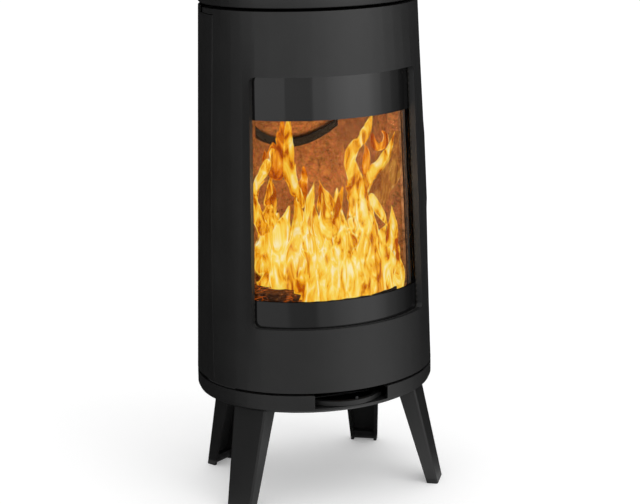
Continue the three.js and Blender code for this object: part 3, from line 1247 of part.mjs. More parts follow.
const addDoorInside = () => {
  const seal = cut(
    curvedBlock(grown(windowOutline, REVEAL_WALL - 0.5), SEAL_INSET, SEAL_INSET + GLASS_SEAL),
    curvedBlock(grown(windowOutline, 0.5), SEAL_INSET - 5, SEAL_INSET + GLASS_SEAL + 5),
  );
  addPiece('glass_seal', seal, ROPE_SEAL);

  const pane = {
    half: GLASS_HALF_ANGLE,
    bottom: windowOutline.bottom - GLASS_MARGIN,
    top: windowOutline.top + GLASS_MARGIN,
    corner: 0,
  };
  addPiece('door_glass', curvedBlock(pane, GLASS_INSET, GLASS_INSET + GLASS), CERAMIC_GLASS);

  const trayFloor = curvedBlock(frameOutline, FRAME_INSET, FRAME_INSET + INNER_FRAME);
  const trayFront = SKIN + SEAT;
  const bar = (from, to, z0, z1) => sweep(stationsBetween(from, to), () => [
    [trayFront, z0], [FRAME_INSET + 1, z0], [FRAME_INSET + 1, z1], [trayFront, z1],
  ]);
  const edge = frameOutline.half;
  const walls = [
    bar(-edge, edge, frameOutline.bottom, frameOutline.bottom + INNER_FRAME_WALL),
    bar(-edge, edge, frameOutline.top - INNER_FRAME_WALL, frameOutline.top),
  ];
  const ropeOuter = grown(frameOutline, -ROPE_EDGE);
  const ropeInner = grown(ropeOuter, -ROPE_WIDTH);
  const land = cut(
    curvedBlock(ropeOuter, FRAME_INSET + PAST, ROPE_LAND_INSET),
    curvedBlock(ropeInner, FRAME_INSET, ROPE_LAND_INSET + PAST),
  );
  const tray = cut(
    join(trayFloor, land, ...walls), curvedBlock(innerWindow, FRAME_INSET - 10, FRAME_INSET + 15),
  );
  const holes = frameScrewAt.map((place) => frameStem(
    place, FRAME_SCREW_RADIUS + BOLT_PLAY, -PAST, INNER_FRAME + PAST,
  ));
  addPiece('door_inner_frame', cut(tray, ...holes), STEEL);
  const headFrom = INNER_FRAME + SEAT;
  frameScrewAt.forEach((place, i) => addPiece(`inner_frame_screw_${i + 1}`, join(
    frameStem(place, FRAME_SCREW_RADIUS, -FRAME_SCREW_REACH, headFrom + PAST),
    frameStem(place, FRAME_SCREW_HEAD_RADIUS, headFrom, headFrom + FRAME_SCREW_HEAD),
  ), BRIGHT_STEEL));

  const rope = cut(
    curvedBlock(ropeOuter, ROPE_INSET, ROPE_INSET + ROPE),
    curvedBlock(ropeInner, ROPE_INSET - PAST, ROPE_INSET + ROPE + PAST),
  );
  addPiece('door_rope_seal', rope, ROPE_SEAL);
};

// ---------------------------------------------------------------- ash pan
const addAshPan = () => {
  const bottom = FLOOR_TOP + SEAT;
  const rear = PAN_FRONT_Y + PAN_LENGTH;
  const outer = box(-PAN_HALF_WIDTH, PAN_HALF_WIDTH, PAN_FRONT_Y, rear, bottom, bottom + PAN_HEIGHT);
  const inner = box(
    -PAN_HALF_WIDTH + PAN_WALL, PAN_HALF_WIDTH - PAN_WALL, PAN_FRONT_Y + PAN_WALL, rear - PAN_WALL,
    bottom + PAN_WALL, bottom + PAN_HEIGHT + 1,
  );
  const lipZ = bottom + PAN_HEIGHT * 0.6;
  const lip = box(
    -PAN_LIP_HALF_WIDTH, PAN_LIP_HALF_WIDTH, PAN_FRONT_Y - PAN_LIP, PAN_FRONT_Y + 1,
    lipZ, lipZ + PAN_LIP_THICKNESS,
  );
  const hook = box(
    -PAN_LIP_HALF_WIDTH, PAN_LIP_HALF_WIDTH, PAN_FRONT_Y - PAN_LIP,
    PAN_FRONT_Y - PAN_LIP + PAN_LIP_THICKNESS, lipZ - 8, lipZ + 1,
  );
  addPiece('ash_pan', join(cut(outer, inner), lip, hook), STEEL);
};

addBase();
addLegs();
addFloorPlate();
addAirControl();
addFireboxBody();
addHearth();
addLining();
addTop();
addPanels();
addDoorShell();
addDoorInside();
addHandle();
addHinges();
addAshPan();

export default stove;
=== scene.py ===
import json
import math
from contextlib import contextmanager

import bpy
import numpy as np
from mathutils import Matrix, Vector


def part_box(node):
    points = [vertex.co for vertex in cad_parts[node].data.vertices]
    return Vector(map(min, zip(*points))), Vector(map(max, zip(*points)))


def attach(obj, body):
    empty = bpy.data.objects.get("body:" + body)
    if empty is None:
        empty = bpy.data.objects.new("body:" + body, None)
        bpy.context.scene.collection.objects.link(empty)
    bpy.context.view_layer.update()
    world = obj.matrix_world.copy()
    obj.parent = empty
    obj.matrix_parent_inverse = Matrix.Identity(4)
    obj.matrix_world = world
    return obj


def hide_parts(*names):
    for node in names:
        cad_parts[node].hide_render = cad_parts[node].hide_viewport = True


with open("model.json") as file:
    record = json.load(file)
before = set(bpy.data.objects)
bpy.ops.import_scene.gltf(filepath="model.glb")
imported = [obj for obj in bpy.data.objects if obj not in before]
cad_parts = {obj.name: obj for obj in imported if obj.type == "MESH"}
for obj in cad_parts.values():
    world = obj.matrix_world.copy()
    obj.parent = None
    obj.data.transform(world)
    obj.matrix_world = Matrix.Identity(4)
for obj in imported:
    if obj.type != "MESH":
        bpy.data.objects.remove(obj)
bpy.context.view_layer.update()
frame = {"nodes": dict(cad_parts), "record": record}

bl_info = {
    "name": "Oval Wood Stove",
    "version": (1, 0, 0),
    "blender": (4, 5, 0),
    "location": "View3D > Sidebar > Stove",
    "description": "Finishes a free-standing oval wood stove: castings, glass, lining, fire and studio",
    "category": "Object",
}

RECORD = frame["record"]
BODY_OF = {
    node: body for body, nodes in RECORD["behaviour"]["bodies"].items() for node in nodes
}
SLOT_OF = {part["node"]: part["material_slot"] for part in RECORD["subparts"]}

# ------------------------------ the stove's oval
# Taken from the boxes of the base casting, the lid and the door, in metres.
BASE_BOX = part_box("base_casting")
LID_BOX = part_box("top_plate")
DOOR_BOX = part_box("door_shell")
BODY_BOTTOM = DOOR_BOX[0].z
BODY_TOP = DOOR_BOX[1].z
HALF_WIDTH = (BASE_BOX[1].x, LID_BOX[1].x)
HALF_DEPTH = (-BASE_BOX[0].y, (LID_BOX[1].y - LID_BOX[0].y) / 2)
TOP_SETBACK = (LID_BOX[1].y + LID_BOX[0].y) / 2
FACET = math.radians(7.5)  # the construction model's facet, rounded out here

LINING_INSET = 0.0638  # outer skin to the inner face of the lining
AIR_BAR_DEPTH = 0.0143  # from the lining to the front face of the air bar
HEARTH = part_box("grate")[1].z  # the level that the fire lies on

# Rounding of edges, in metres.
STOUT_EDGE = 0.0012  # legs and handle
BOARD_EDGE = 0.001  # boards and bricks of the lining, and the air control's pull
COLLAR_EDGE = 0.0008
THIN_EDGE = 0.0004  # bolts, and the air control's plates and screws
SCREW_EDGE = 0.0003  # the screws inside the door


def mix(a, b, t):
    return a + (b - a) * t


def oval_at(z):
    """Half width, half depth and setback of the outer skin at a height."""
    t = np.clip((z - BODY_BOTTOM) / (BODY_TOP - BODY_BOTTOM), 0, 1)
    return mix(*HALF_WIDTH, t), mix(*HALF_DEPTH, t), TOP_SETBACK * t


def skin_point(degrees, inset, z):
    """A point that lies inset inside the skin, degrees round from the front towards +X."""
    half_width, half_depth, setback = oval_at(z)
    angle = math.radians(degrees)
    return Vector((
        (half_width - inset) * math.sin(angle),
        setback - (half_depth - inset) * math.cos(angle),
        z,
    ))


# ------------------------------ modelling helpers
def pick(*pieces):
    """Selects these pieces alone; the first one is the active one."""
    bpy.ops.object.select_all(action="DESELECT")
    for piece in pieces:
        piece.select_set(True)
    bpy.context.view_layer.objects.active = pieces[0]


def start_from(primitive, name, **settings):
    """Adds a primitive that is then shaped into the piece of this name."""
    bpy.ops.object.select_all(action="DESELECT")
    getattr(bpy.ops.mesh, f"primitive_{primitive}_add")(**settings)
    piece = bpy.context.object
    piece.name = name
    return piece


@contextmanager
def editing(piece):
    """Edit mode on one piece alone, in which faces are selected."""
    pick(piece)
    bpy.ops.object.mode_set(mode="EDIT")
    bpy.ops.mesh.select_mode(type="FACE")
    bpy.ops.mesh.select_all(action="DESELECT")
    yield
    bpy.ops.object.mode_set(mode="OBJECT")


def select_faces(piece, test):
    """Selects the faces whose middle and normal pass a test, from inside edit mode."""
    bpy.ops.object.mode_set(mode="OBJECT")
    for face in piece.data.polygons:
        face.select = bool(test(face.center, face.normal))
    bpy.ops.object.mode_set(mode="EDIT")


def cut(point, normal, **settings):
    """Cuts the whole piece along a plane, from inside edit mode."""
    bpy.ops.mesh.select_all(action="SELECT")
    bpy.ops.mesh.bisect(plane_co=point, plane_no=normal, **settings)


def apply_modifier(piece, kind, **settings):
    modifier = piece.modifiers.new(kind.title(), kind)
    for name, value in settings.items():
        setattr(modifier, name, value)
    pick(piece)
    bpy.ops.object.modifier_apply(modifier=modifier.name)


def smooth(piece, degrees=35):
    """Smooth shading, sharp past an angle, with flat faces kept flat beside their rounded edges."""
    pick(piece)
    bpy.ops.object.shade_smooth_by_angle(angle=math.radians(degrees))
    apply_modifier(piece, "WEIGHTED_NORMAL", keep_sharp=True, weight=80)


def copy_of(node):
    """A copy of a construction piece with its loose triangles merged into clean faces."""
    piece = bpy.data.objects.new(node + "_finished", frame["nodes"][node].data.copy())
    bpy.context.scene.collection.objects.link(piece)
    piece.data.materials.clear()
    with editing(piece):
        bpy.ops.mesh.select_all(action="SELECT")
        bpy.ops.mesh.remove_doubles(threshold=0.0002)
        bpy.ops.mesh.dissolve_limited(angle_limit=math.radians(2))
    return piece


def round_edges(piece, width, segments):
    apply_modifier(
        piece, "BEVEL", width=width, segments=segments, limit_method="ANGLE",
        angle_limit=math.radians(30), use_clamp_overlap=True, miter_outer="MITER_ARC",
    )


def cut_rows(piece, spacing):
    """Level cuts at even spacing."""
    heights = [vertex.co.z for vertex in piece.data.vertices]
    low, high = min(heights), max(heights)
    count = int((high - low) / spacing)
    with editing(piece):
        for i in range(1, count + 1):
            cut((0, 0, mix(low, high, i / (count + 1))), (0, 0, 1))


def cut_round(piece, per_facet):
    """Upright cuts through the oval's middle line that divide each facet in even parts."""
    with editing(piece):
        for facet in range(round(math.pi / FACET)):
            for part in range(1, per_facet):
                angle = (facet + part / per_facet) * FACET
                across, ahead = HALF_WIDTH[0] * math.sin(angle), HALF_DEPTH[0] * math.cos(angle)
                cut((0, TOP_SETBACK / 2, 0), (ahead, across, 0))


def round_out(piece):
    """Moves each vertex from the chord of its facet out to the true oval at the same depth in the skin."""
    points = np.array([vertex.co for vertex in piece.data.vertices])
    half_width, half_depth, setback = oval_at(points[:, 2])
    x, y = points[:, 0], points[:, 1] - setback
    # how far each point lies outside the skin is found by halving the span that it must lie in
    low, high = np.full(len(points), -0.9 * HALF_DEPTH[1]), np.full(len(points), 0.03)
    for _ in range(40):
        out = (low + high) / 2
        across, ahead = x / (half_width + out), -y / (half_depth + out)
        turn = np.mod(np.arctan2(across, ahead), FACET) - FACET / 2
        bulge = np.cos(turn) / math.cos(FACET / 2)
        too_small = np.hypot(across, ahead) * bulge > 1
        low, high = np.where(too_small, out, low), np.where(too_small, high, out)
    grow = np.where(low > -0.8 * HALF_DEPTH[1], bulge, 1)  # the innermost points stay
    for vertex, k, back in zip(piece.data.vertices, grow, setback):
        vertex.co.x *= k
        vertex.co.y = back + (vertex.co.y - back) * k
    piece.data.update()


def finish_piece(piece, material, body="stove_body"):
    """Gives a piece its material, and says which body it moves with."""
    piece.data.materials.clear()
    piece.data.materials.append(material)
    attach(piece, body)


def finish_node(node, edge, segments=2, rows=0, per_facet=0, shade=35):
    """A construction piece in its finished form: edges broken, facets rounded out, finish on."""
    piece = copy_of(node)
    if edge:
        round_edges(piece, edge, segments)
    if rows:
        cut_rows(piece, rows)
    if per_facet:
        cut_round(piece, per_facet)
        round_out(piece)
    smooth(piece, shade)
    slot = SLOT_OF[node]
    finish_piece(piece, FINISHES[slot](), BODY_OF[node])
    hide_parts(node)
    return piece


# ------------------------------ material helpers
def linear(hex_colour):
    """An sRGB hex colour as linear red, green, blue and alpha."""
    parts = [int(hex_colour[i:i + 2], 16) / 255 for i in (1, 3, 5)]
    return (*(c / 12.92 if c <= 0.04045 else ((c + 0.055) / 1.055) ** 2.4 for c in parts), 1)


def add(tree, kind, inputs=None, **settings):
    """Adds a node with its settings; an input is a value, another node's output, or a node to link."""
    made = tree.nodes.new(kind)
    for name, value in settings.items():
        setattr(made, name, value)
    for name, value in (inputs or {}).items():
        if isinstance(value, bpy.types.Node):
            value = value.outputs[0]
        if isinstance(value, bpy.types.NodeSocket):
            tree.links.new(value, made.inputs[name])
        else:
            made.inputs[name].default_value = value
    return made


def ramp(tree, factor, *stops):
    """A colour ramp through (position, hex colour) stops."""
    made = add(tree, "ShaderNodeValToRGB", {"Fac": factor})
    elements = made.color_ramp.elements
    while len(elements) < len(stops):
        elements.new(0.5)
    for element, (position, colour) in zip(elements, stops):
        element.position = position
        element.color = linear(colour) if isinstance(colour, str) else colour
    return made


def per_metre(millimetres):
    """Texture scale that gives a pattern of this size."""
    return 1000 / millimetres


def sizes():
    return bpy.context.scene.stove_sizes


def finishes():
    return bpy.context.scene.stove_finishes


def finish_colour(name, factor):
    """A colour of the finishes panel, made darker or lighter."""
    return [min(1, c * factor) for c in getattr(finishes(), name)] + [1]


def recipe(name):
    """Turns a function that adds a material's nodes into one that makes that material, once."""
    def wrap(add_nodes):
        def make():
            if name not in bpy.data.materials:
                material = bpy.data.materials.new(name)
                material.use_nodes = True
                tree = material.node_tree
                tree.nodes.clear()
                place = add(tree, "ShaderNodeTexCoord").outputs["Object"]
                shader = add_nodes(tree, place)
                add(tree, "ShaderNodeOutputMaterial", {"Surface": shader})
            return bpy.data.materials[name]
        return make
    return wrap


@recipe("stove_paint_on_cast_iron")
def painted_iron(tree, place):
    """Grey iron cast in sand, sprayed with heat-resistant stove paint: satin, even, with a fine grain."""
    grain = add(tree, "ShaderNodeTexNoise", {
        "Vector": place, "Scale": per_metre(1.6), "Detail": 6, "Roughness": 0.62,
    })
    drift = add(tree, "ShaderNodeTexNoise", {
        "Vector": place, "Scale": per_metre(70), "Detail": 3, "Roughness": 0.5,
    })
    mixed = add(tree, "ShaderNodeMath", {0: grain, 1: drift}, operation="ADD")
    average = add(tree, "ShaderNodeMath", {0: mixed, 1: 0.5}, operation="MULTIPLY")
    darker, lighter = finish_colour("iron_paint", 0.72), finish_colour("iron_paint", 1.3)
    colour = ramp(tree, average, (0.3, darker), (0.7, lighter))
    rough = add(tree, "ShaderNodeMapRange", {
        "Value": grain, "From Min": 0.3, "From Max": 0.7, "To Min": 0.42, "To Max": 0.56,
    })
    sand = add(tree, "ShaderNodeBump", {"Height": grain, "Strength": 0.22, "Distance": 0.0006})
    uneven = add(tree, "ShaderNodeBump", {
        "Height": drift, "Strength": 0.12, "Distance": 0.004, "Normal": sand,
    })
    return add(tree, "ShaderNodeBsdfPrincipled", {
        "Base Color": colour, "Roughness": rough, "Normal": uneven,
        "Metallic": 0.0, "IOR": 1.5, "Specular IOR Level": 0.4,
    })


@recipe("sooty_cast_iron")
def sooty_iron(tree, place):
    """Bare and blacked iron inside the stove: matt, with brown-grey soot in drifts."""
    soot = add(tree, "ShaderNodeTexNoise", {
        "Vector": place, "Scale": per_metre(45), "Detail": 8, "Roughness": 0.7,
    })
    grain = add(tree, "ShaderNodeTexNoise", {"Vector": place, "Scale": per_metre(1.8), "Detail": 4})
    colour = ramp(tree, soot, (0.35, "#090909"), (0.6, "#131110"), (0.8, "#211d1a"))
    bump = add(tree, "ShaderNodeBump", {"Height": grain, "Strength": 0.35, "Distance": 0.0008})
    return add(tree, "ShaderNodeBsdfPrincipled", {
        "Base Color": colour, "Roughness": 0.78, "Normal": bump, "Specular IOR Level": 0.3,
    })


@recipe("heat_browned_iron")
def firelit_brown_iron(tree, place):
    """Iron and rope round the fire opening: browned by the heat and dusted with pale ash; its pale brown
    also paints the fire's light on them, as painted firelight.
    """
    dust = add(tree, "ShaderNodeTexNoise", {
        "Vector": place, "Scale": per_metre(12), "Detail": 7, "Roughness": 0.7,
    })
    colour = ramp(tree, dust, (0.34, "#4f3a2a"), (0.5, "#8f6d52"), (0.7, "#ab8c70"))
    bump = add(tree, "ShaderNodeBump", {"Height": dust, "Strength": 0.3, "Distance": 0.0006})
    return add(tree, "ShaderNodeBsdfPrincipled", {
        "Base Color": colour, "Roughness": 0.85, "Normal": bump, "Specular IOR Level": 0.2,
    })


@recipe("stove_paint_on_steel_sheet")
def painted_sheet(tree, place):
    """Folded steel sheet under matt stove paint: flatter than the castings, with an orange-peel spray."""
    peel = add(tree, "ShaderNodeTexNoise", {"Vector": place, "Scale": per_metre(2.5), "Detail": 2})
    colour = ramp(tree, peel, (0.3, "#202021"), (0.7, "#2a2a2b"))
    bump = add(tree, "ShaderNodeBump", {"Height": peel, "Strength": 0.12, "Distance": 0.0005})
    return add(tree, "ShaderNodeBsdfPrincipled", {
        "Base Color": colour, "Roughness": 0.6, "Normal": bump, "Specular IOR Level": 0.4,
    })


@recipe("zinc_plated_steel")
def plated_steel(tree, place):
    """Zinc-plated steel of pins, bolts and screws: pale, slightly blotched by the plating bath."""
    bath = add(tree, "ShaderNodeTexNoise", {"Vector": place, "Scale": per_metre(4), "Detail": 5})
    colour = ramp(tree, bath, (0.3, "#9ea1a4"), (0.7, "#c3c5c6"))
    rough = add(tree, "ShaderNodeMapRange", {
        "Value": bath, "From Min": 0.3, "From Max": 0.7, "To Min": 0.28, "To Max": 0.45,
    })
    return add(tree, "ShaderNodeBsdfPrincipled", {
        "Base Color": colour, "Roughness": rough, "Metallic": 1.0,
    })


@recipe("pressed_vermiculite")
def vermiculite(tree, place):
    """Pressed vermiculite board: warm brown, full of gold and dark flakes of 2 to 4 mm, quite matt."""
    flakes = add(tree, "ShaderNodeTexVoronoi", {
        "Vector": place, "Scale": per_metre(3.2), "Randomness": 1.0,
    })
    # coarser than the real speckle, so that it shows
    speckle = add(tree, "ShaderNodeTexNoise", {
        "Vector": place, "Scale": per_metre(9), "Detail": 8, "Roughness": 0.85,
    })
    scorch = add(tree, "ShaderNodeTexNoise", {
        "Vector": place, "Scale": per_metre(120), "Detail": 4, "Roughness": 0.6,
    })
    board = ramp(
        tree, speckle, (0.34, "#24110a"), (0.44, finish_colour("lining", 0.62)),
        (0.56, finish_colour("lining", 1.0)), (0.7, finish_colour("lining", 1.7)),
    )
    flake_colour = add(tree, "ShaderNodeMix", {
        "Factor": 0.22, "A": board, "B": flakes.outputs["Color"],
    }, data_type="RGBA", blend_type="SOFT_LIGHT").outputs["Result"]
    burnt = ramp(tree, scorch, (0.3, "#b0a8a4"), (0.6, "#ffffff"))
    colour = add(tree, "ShaderNodeMix", {
        "Factor": 1.0, "A": flake_colour, "B": burnt,
    }, data_type="RGBA", blend_type="MULTIPLY").outputs["Result"]
    bump = add(tree, "ShaderNodeBump", {"Height": speckle, "Strength": 0.5, "Distance": 0.0012})
    return add(tree, "ShaderNodeBsdfPrincipled", {
        "Base Color": colour, "Roughness": 0.92, "Normal": bump, "Specular IOR Level": 0.15,
    })


@recipe("chamotte_fire_brick")
def fire_brick(tree, place):
    """Fired chamotte: sandy, pale ochre under a veil of grey ash."""
    grog = add(tree, "ShaderNodeTexNoise", {
        "Vector": place, "Scale": per_metre(3), "Detail": 8, "Roughness": 0.7,
    })
    ash = add(tree, "ShaderNodeTexNoise", {"Vector": place, "Scale": per_metre(35), "Detail": 5})
    clay = ramp(tree, grog, (0.3, "#6a3f28"), (0.7, "#a8714b"))
    veil = ramp(tree, ash, (0.45, "#000000"), (0.7, "#ffffff"))
    colour = add(tree, "ShaderNodeMix", {
        "Factor": veil, "A": clay, "B": linear("#8d857d"),
    }, data_type="RGBA").outputs["Result"]
    bump = add(tree, "ShaderNodeBump", {"Height": grog, "Strength": 0.5, "Distance": 0.001})
    return add(tree, "ShaderNodeBsdfPrincipled", {
        "Base Color": colour, "Roughness": 0.95, "Normal": bump, "Specular IOR Level": 0.1,
    })


@recipe("braided_glass_fibre")
def rope_fibre(tree, place):
    """Braided glass-fibre rope, graphited dark: the braid crosses every 3 mm."""
    weave = []
    for turn in (0.0, math.pi / 2):
        turned = add(tree, "ShaderNodeMapping", {"Vector": place, "Rotation": (0, turn, 0)})
        weave.append(add(tree, "ShaderNodeTexWave", {
            "Vector": turned, "Scale": per_metre(3) / (2 * math.pi), "Distortion": 1.5, "Detail": 2,
        }, bands_direction="DIAGONAL").outputs["Fac"])
    braid = add(tree, "ShaderNodeMath", {0: weave[0], 1: weave[1]}, operation="MULTIPLY")
    colour = ramp(tree, braid, (0.0, "#1c1b19"), (0.6, "#3a3835"))
    bump = add(tree, "ShaderNodeBump", {"Height": braid, "Strength": 0.8, "Distance": 0.0008})
    return add(tree, "ShaderNodeBsdfPrincipled", {
        "Base Color": colour, "Roughness": 0.9, "Normal": bump, "Specular IOR Level": 0.2,
    })


@recipe("clear_glass_ceramic")
def clear_ceramic(tree, place):
    """Transparent glass ceramic: clear, with the mirror sheen of drawn glass and nothing refracted."""
    see = add(tree, "ShaderNodeBsdfTransparent", {"Color": linear("#fbf6ee")})
    shine = add(tree, "ShaderNodeBsdfAnisotropic", {"Color": (1, 1, 1, 1), "Roughness": 0.03})
    return add(tree, "ShaderNodeMixShader", {
        0: add(tree, "ShaderNodeFresnel", {"IOR": 1.14}),
        1: see, 2: shine,
    })


@recipe("black_enamel_on_glass")
def black_enamel(tree, place):
    """Glossy black enamel behind the pane: as black as lacquer, with the glass's clear reflections."""
    waviness = add(tree, "ShaderNodeTexNoise", {"Vector": place, "Scale": per_metre(60), "Detail": 1})
    bump = add(tree, "ShaderNodeBump", {"Height": waviness, "Strength": 0.03, "Distance": 0.002})
    return add(tree, "ShaderNodeBsdfPrincipled", {
        "Base Color": linear("#0b0b0b"), "Roughness": 0.08, "IOR": 1.5, "Normal": bump,
    })


@recipe("charred_log")
def charred_wood(tree, place):
    """Split log burnt to charcoal: dark checked crust, brown on the ridges, ember light in the cracks."""
    checks = add(tree, "ShaderNodeTexVoronoi", {
        "Vector": add(tree, "ShaderNodeMapping", {"Vector": place, "Scale": (0.45, 1, 1)}),
        "Scale": per_metre(7), "Randomness": 1.0,
    }, feature="DISTANCE_TO_EDGE")
    ash = add(tree, "ShaderNodeTexNoise", {
        "Vector": place, "Scale": per_metre(9), "Detail": 8, "Roughness": 0.7,
    })
    crust = ramp(tree, ash, (0.35, "#1a100a"), (0.55, "#5c3618"), (0.72, "#b07238"))
    hot = add(tree, "ShaderNodeTexNoise", {"Vector": place, "Scale": per_metre(40), "Detail": 3})
    crack = add(tree, "ShaderNodeMapRange", {
        "Value": checks, "From Min": 0.0, "From Max": 0.05, "To Min": 1.0, "To Max": 0.0,
    })
    warm = add(tree, "ShaderNodeMapRange", {
        "Value": hot, "From Min": 0.46, "From Max": 0.66, "To Min": 0.0, "To Max": 0.9,
    })
    glow = add(tree, "ShaderNodeMath", {0: crack, 1: warm}, operation="MULTIPLY")
    bump = add(tree, "ShaderNodeBump", {"Height": checks, "Strength": 1.0, "Distance": 0.004})
    crust_shader = add(tree, "ShaderNodeBsdfPrincipled", {
        "Base Color": crust, "Roughness": 0.9, "Normal": bump, "Specular IOR Level": 0.2,
    })
    ember = add(tree, "ShaderNodeEmission", {"Color": linear("#ff7a1c"), "Strength": 1.5})
    return add(tree, "ShaderNodeMixShader", {0: glow, 1: crust_shader, 2: ember})


@recipe("glowing_charcoal")
def glowing_ember(tree, place):
    """Lumps of charcoal at red heat: orange and yellow light from inside, and dark where they cool."""
    heat = add(tree, "ShaderNodeTexNoise", {
        "Vector": place, "Scale": per_metre(14), "Detail": 6, "Roughness": 0.65,
    })
    colour = ramp(tree, heat, (0.36, "#2a0f05"), (0.48, "#c2480a"), (0.6, "#ff9420"), (0.74, "#ffd860"))
    return add(tree, "ShaderNodeEmission", {"Color": colour, "Strength": 1.6})


WHITE_HOT = (-0.062, 0, 0.497)  # the hottest spot of the fire
HEAT_REACH = 0.075  # how far round it the flames are paler


def burning_gas(tree, place, rim, body, heart, heat, swirl_size, density=0.93):
    """Burning wood gas: light only. It thins to nothing at its torn rim, where it is reddest."""
    def rising_noise(size, detail, distortion, stretch):
        """Noise from -0.5 to 0.5 that is drawn out upwards."""
        stretched = add(tree, "ShaderNodeMapping", {"Vector": place, "Scale": (1, 1, stretch)})
        noise = add(tree, "ShaderNodeTexNoise", {
            "Vector": stretched, "Scale": per_metre(size), "Detail": detail,
            "Roughness": 0.5, "Distortion": distortion,
        })
        return add(tree, "ShaderNodeMath", {0: noise, 1: -0.5}, operation="ADD")

    # middle is 1 along the sheet's middle line and 0 at its rims, which the swirls tear
    sheet = add(tree, "ShaderNodeSeparateXYZ", {0: add(tree, "ShaderNodeTexCoord").outputs["UV"]})
    across = add(tree, "ShaderNodeMath", {
        0: sheet.outputs["X"], 1: 2.0, 2: -1.0,
    }, operation="MULTIPLY_ADD")
    side = add(tree, "ShaderNodeMath", {0: across}, operation="ABSOLUTE")
    rim_fall = add(tree, "ShaderNodeMath", {0: side, 1: 2.2}, operation="POWER")
    middle = add(tree, "ShaderNodeMath", {0: 1.0, 1: rim_fall}, operation="SUBTRACT")
    swirl = rising_noise(swirl_size, 2, 1.6, 0.36)
    streak = rising_noise(26, 3, 2.4, 0.34)
    torn = add(tree, "ShaderNodeMath", {0: swirl, 1: 2.6, 2: middle}, operation="MULTIPLY_ADD")
    # it thins towards its tip and rises from nothing at its foot
    tip = add(tree, "ShaderNodeMapRange", {
        "Value": sheet.outputs["Y"], "From Min": 0.4, "From Max": 1.0, "To Min": 0.0, "To Max": 0.4,
    })
    foot = add(tree, "ShaderNodeMapRange", {
        "Value": sheet.outputs["Y"], "From Min": 0.0, "From Max": 0.1, "To Min": 0.75, "To Max": 0.0,
    })
    topped = add(tree, "ShaderNodeMath", {0: torn, 1: tip}, operation="SUBTRACT")
    level = add(tree, "ShaderNodeMath", {0: topped, 1: foot}, operation="SUBTRACT")
    cover = add(tree, "ShaderNodeMapRange", {
        "Value": level, "From Min": 0.1, "From Max": 0.36, "To Min": 0.0, "To Max": density,
    }, interpolation_type="SMOOTHSTEP")
    # its colour goes by its heat: hotter inside, round the hottest spot, in streaks and along a thin rim
    flat = add(tree, "ShaderNodeMapping", {"Vector": place, "Scale": (1, 0, 1)})
    reach = add(tree, "ShaderNodeVectorMath", {0: flat, 1: WHITE_HOT}, operation="DISTANCE")
    white = add(tree, "ShaderNodeMapRange", {
        "Value": reach.outputs["Value"], "From Min": 0.0, "From Max": HEAT_REACH,
        "To Min": heat + 0.3, "To Max": heat,
    }, interpolation_type="SMOOTHSTEP")
    hot = add(tree, "ShaderNodeMath", {0: level, 1: 0.24, 2: white}, operation="MULTIPLY_ADD")
    bright_rim = ramp(
        tree, level, (0.12, "#000000"), (0.26, "#ffffff"), (0.34, "#ffffff"), (0.46, "#000000"),
    )
    edged = add(tree, "ShaderNodeMath", {0: bright_rim, 1: 0.3, 2: hot}, operation="MULTIPLY_ADD")
    glow = add(tree, "ShaderNodeMath", {0: streak, 1: 2.2, 2: edged}, operation="MULTIPLY_ADD")
    colour = ramp(tree, glow, (0.0, rim), (0.26, body), (0.56, heart), (0.88, "#fff9d0"))
    light = add(tree, "ShaderNodeEmission", {"Color": colour, "Strength": 1.02})
    clear = add(tree, "ShaderNodeBsdfTransparent")
    return add(tree, "ShaderNodeMixShader", {0: cover, 1: clear, 2: light})


def flame(name, *settings):
    """The material of one kind of flame."""
    return recipe(name)(lambda tree, place: burning_gas(tree, place, *settings))()


FINISHES = {
    "cast_iron": painted_iron,
    "dark_iron": sooty_iron,
    "steel_sheet": painted_sheet,
    "bright_steel": plated_steel,
    "vermiculite": vermiculite,
    "fire_brick": fire_brick,
    "rope_seal": rope_fibre,
    "ceramic_glass": clear_ceramic,
}


# ------------------------------ sizes and colours to change
class StoveSizes(bpy.types.PropertyGroup):
    panel_edge: bpy.props.FloatProperty(
        name="Panel edge", description="Rounding of the panels' and the door's edges",
        default=0.0011, unit="LENGTH", precision=4,
    )
    small_edge: bpy.props.FloatProperty(
        name="Small edge", description="Rounding of fittings and inner plates",
        default=0.0005, unit="LENGTH", precision=4,
    )
    clear_bottom: bpy.props.FloatProperty(
        name="Clear glass from", description="Upper edge of the lower enamel band",
        default=0.4124, unit="LENGTH",
    )
    clear_top: bpy.props.FloatProperty(
        name="Clear glass to", description="Lower edge of the upper enamel band",
        default=0.7515, unit="LENGTH",
    )


class StoveFinishes(bpy.types.PropertyGroup):
    iron_paint: bpy.props.FloatVectorProperty(
        name="Stove paint", description="Charcoal of the castings", subtype="COLOR",
        default=linear("#141414")[:3], min=0, max=1,
    )
    lining: bpy.props.FloatVectorProperty(
        name="Lining", description="Brown of the vermiculite boards", subtype="COLOR",
        default=linear("#a4744a")[:3], min=0, max=1,
    )
    floor: bpy.props.FloatVectorProperty(
        name="Floor", description="Studio floor", subtype="COLOR",
        default=linear("#f2f2f2")[:3], min=0, max=1,
    )


# ------------------------------ pieces
def make_panels():
    for node in ("side_panel_left", "side_panel_right", "rear_panel", "door_shell"):
        finish_node(node, edge=sizes().panel_edge, rows=0.03, per_facet=3)


def make_glass():
    """One pane; the faces above and below its clear part carry the enamel."""
    pane = finish_node("door_glass", edge=0, per_facet=3)
    with editing(pane):
        for level in (sizes().clear_bottom, sizes().clear_top):
            cut((0, 0, level), (0, 0, 1))
    pane.data.materials.append(black_enamel())
    for face in pane.data.polygons:
        if not sizes().clear_bottom < face.center.z < sizes().clear_top:
            face.material_index = 1
    smooth(pane)


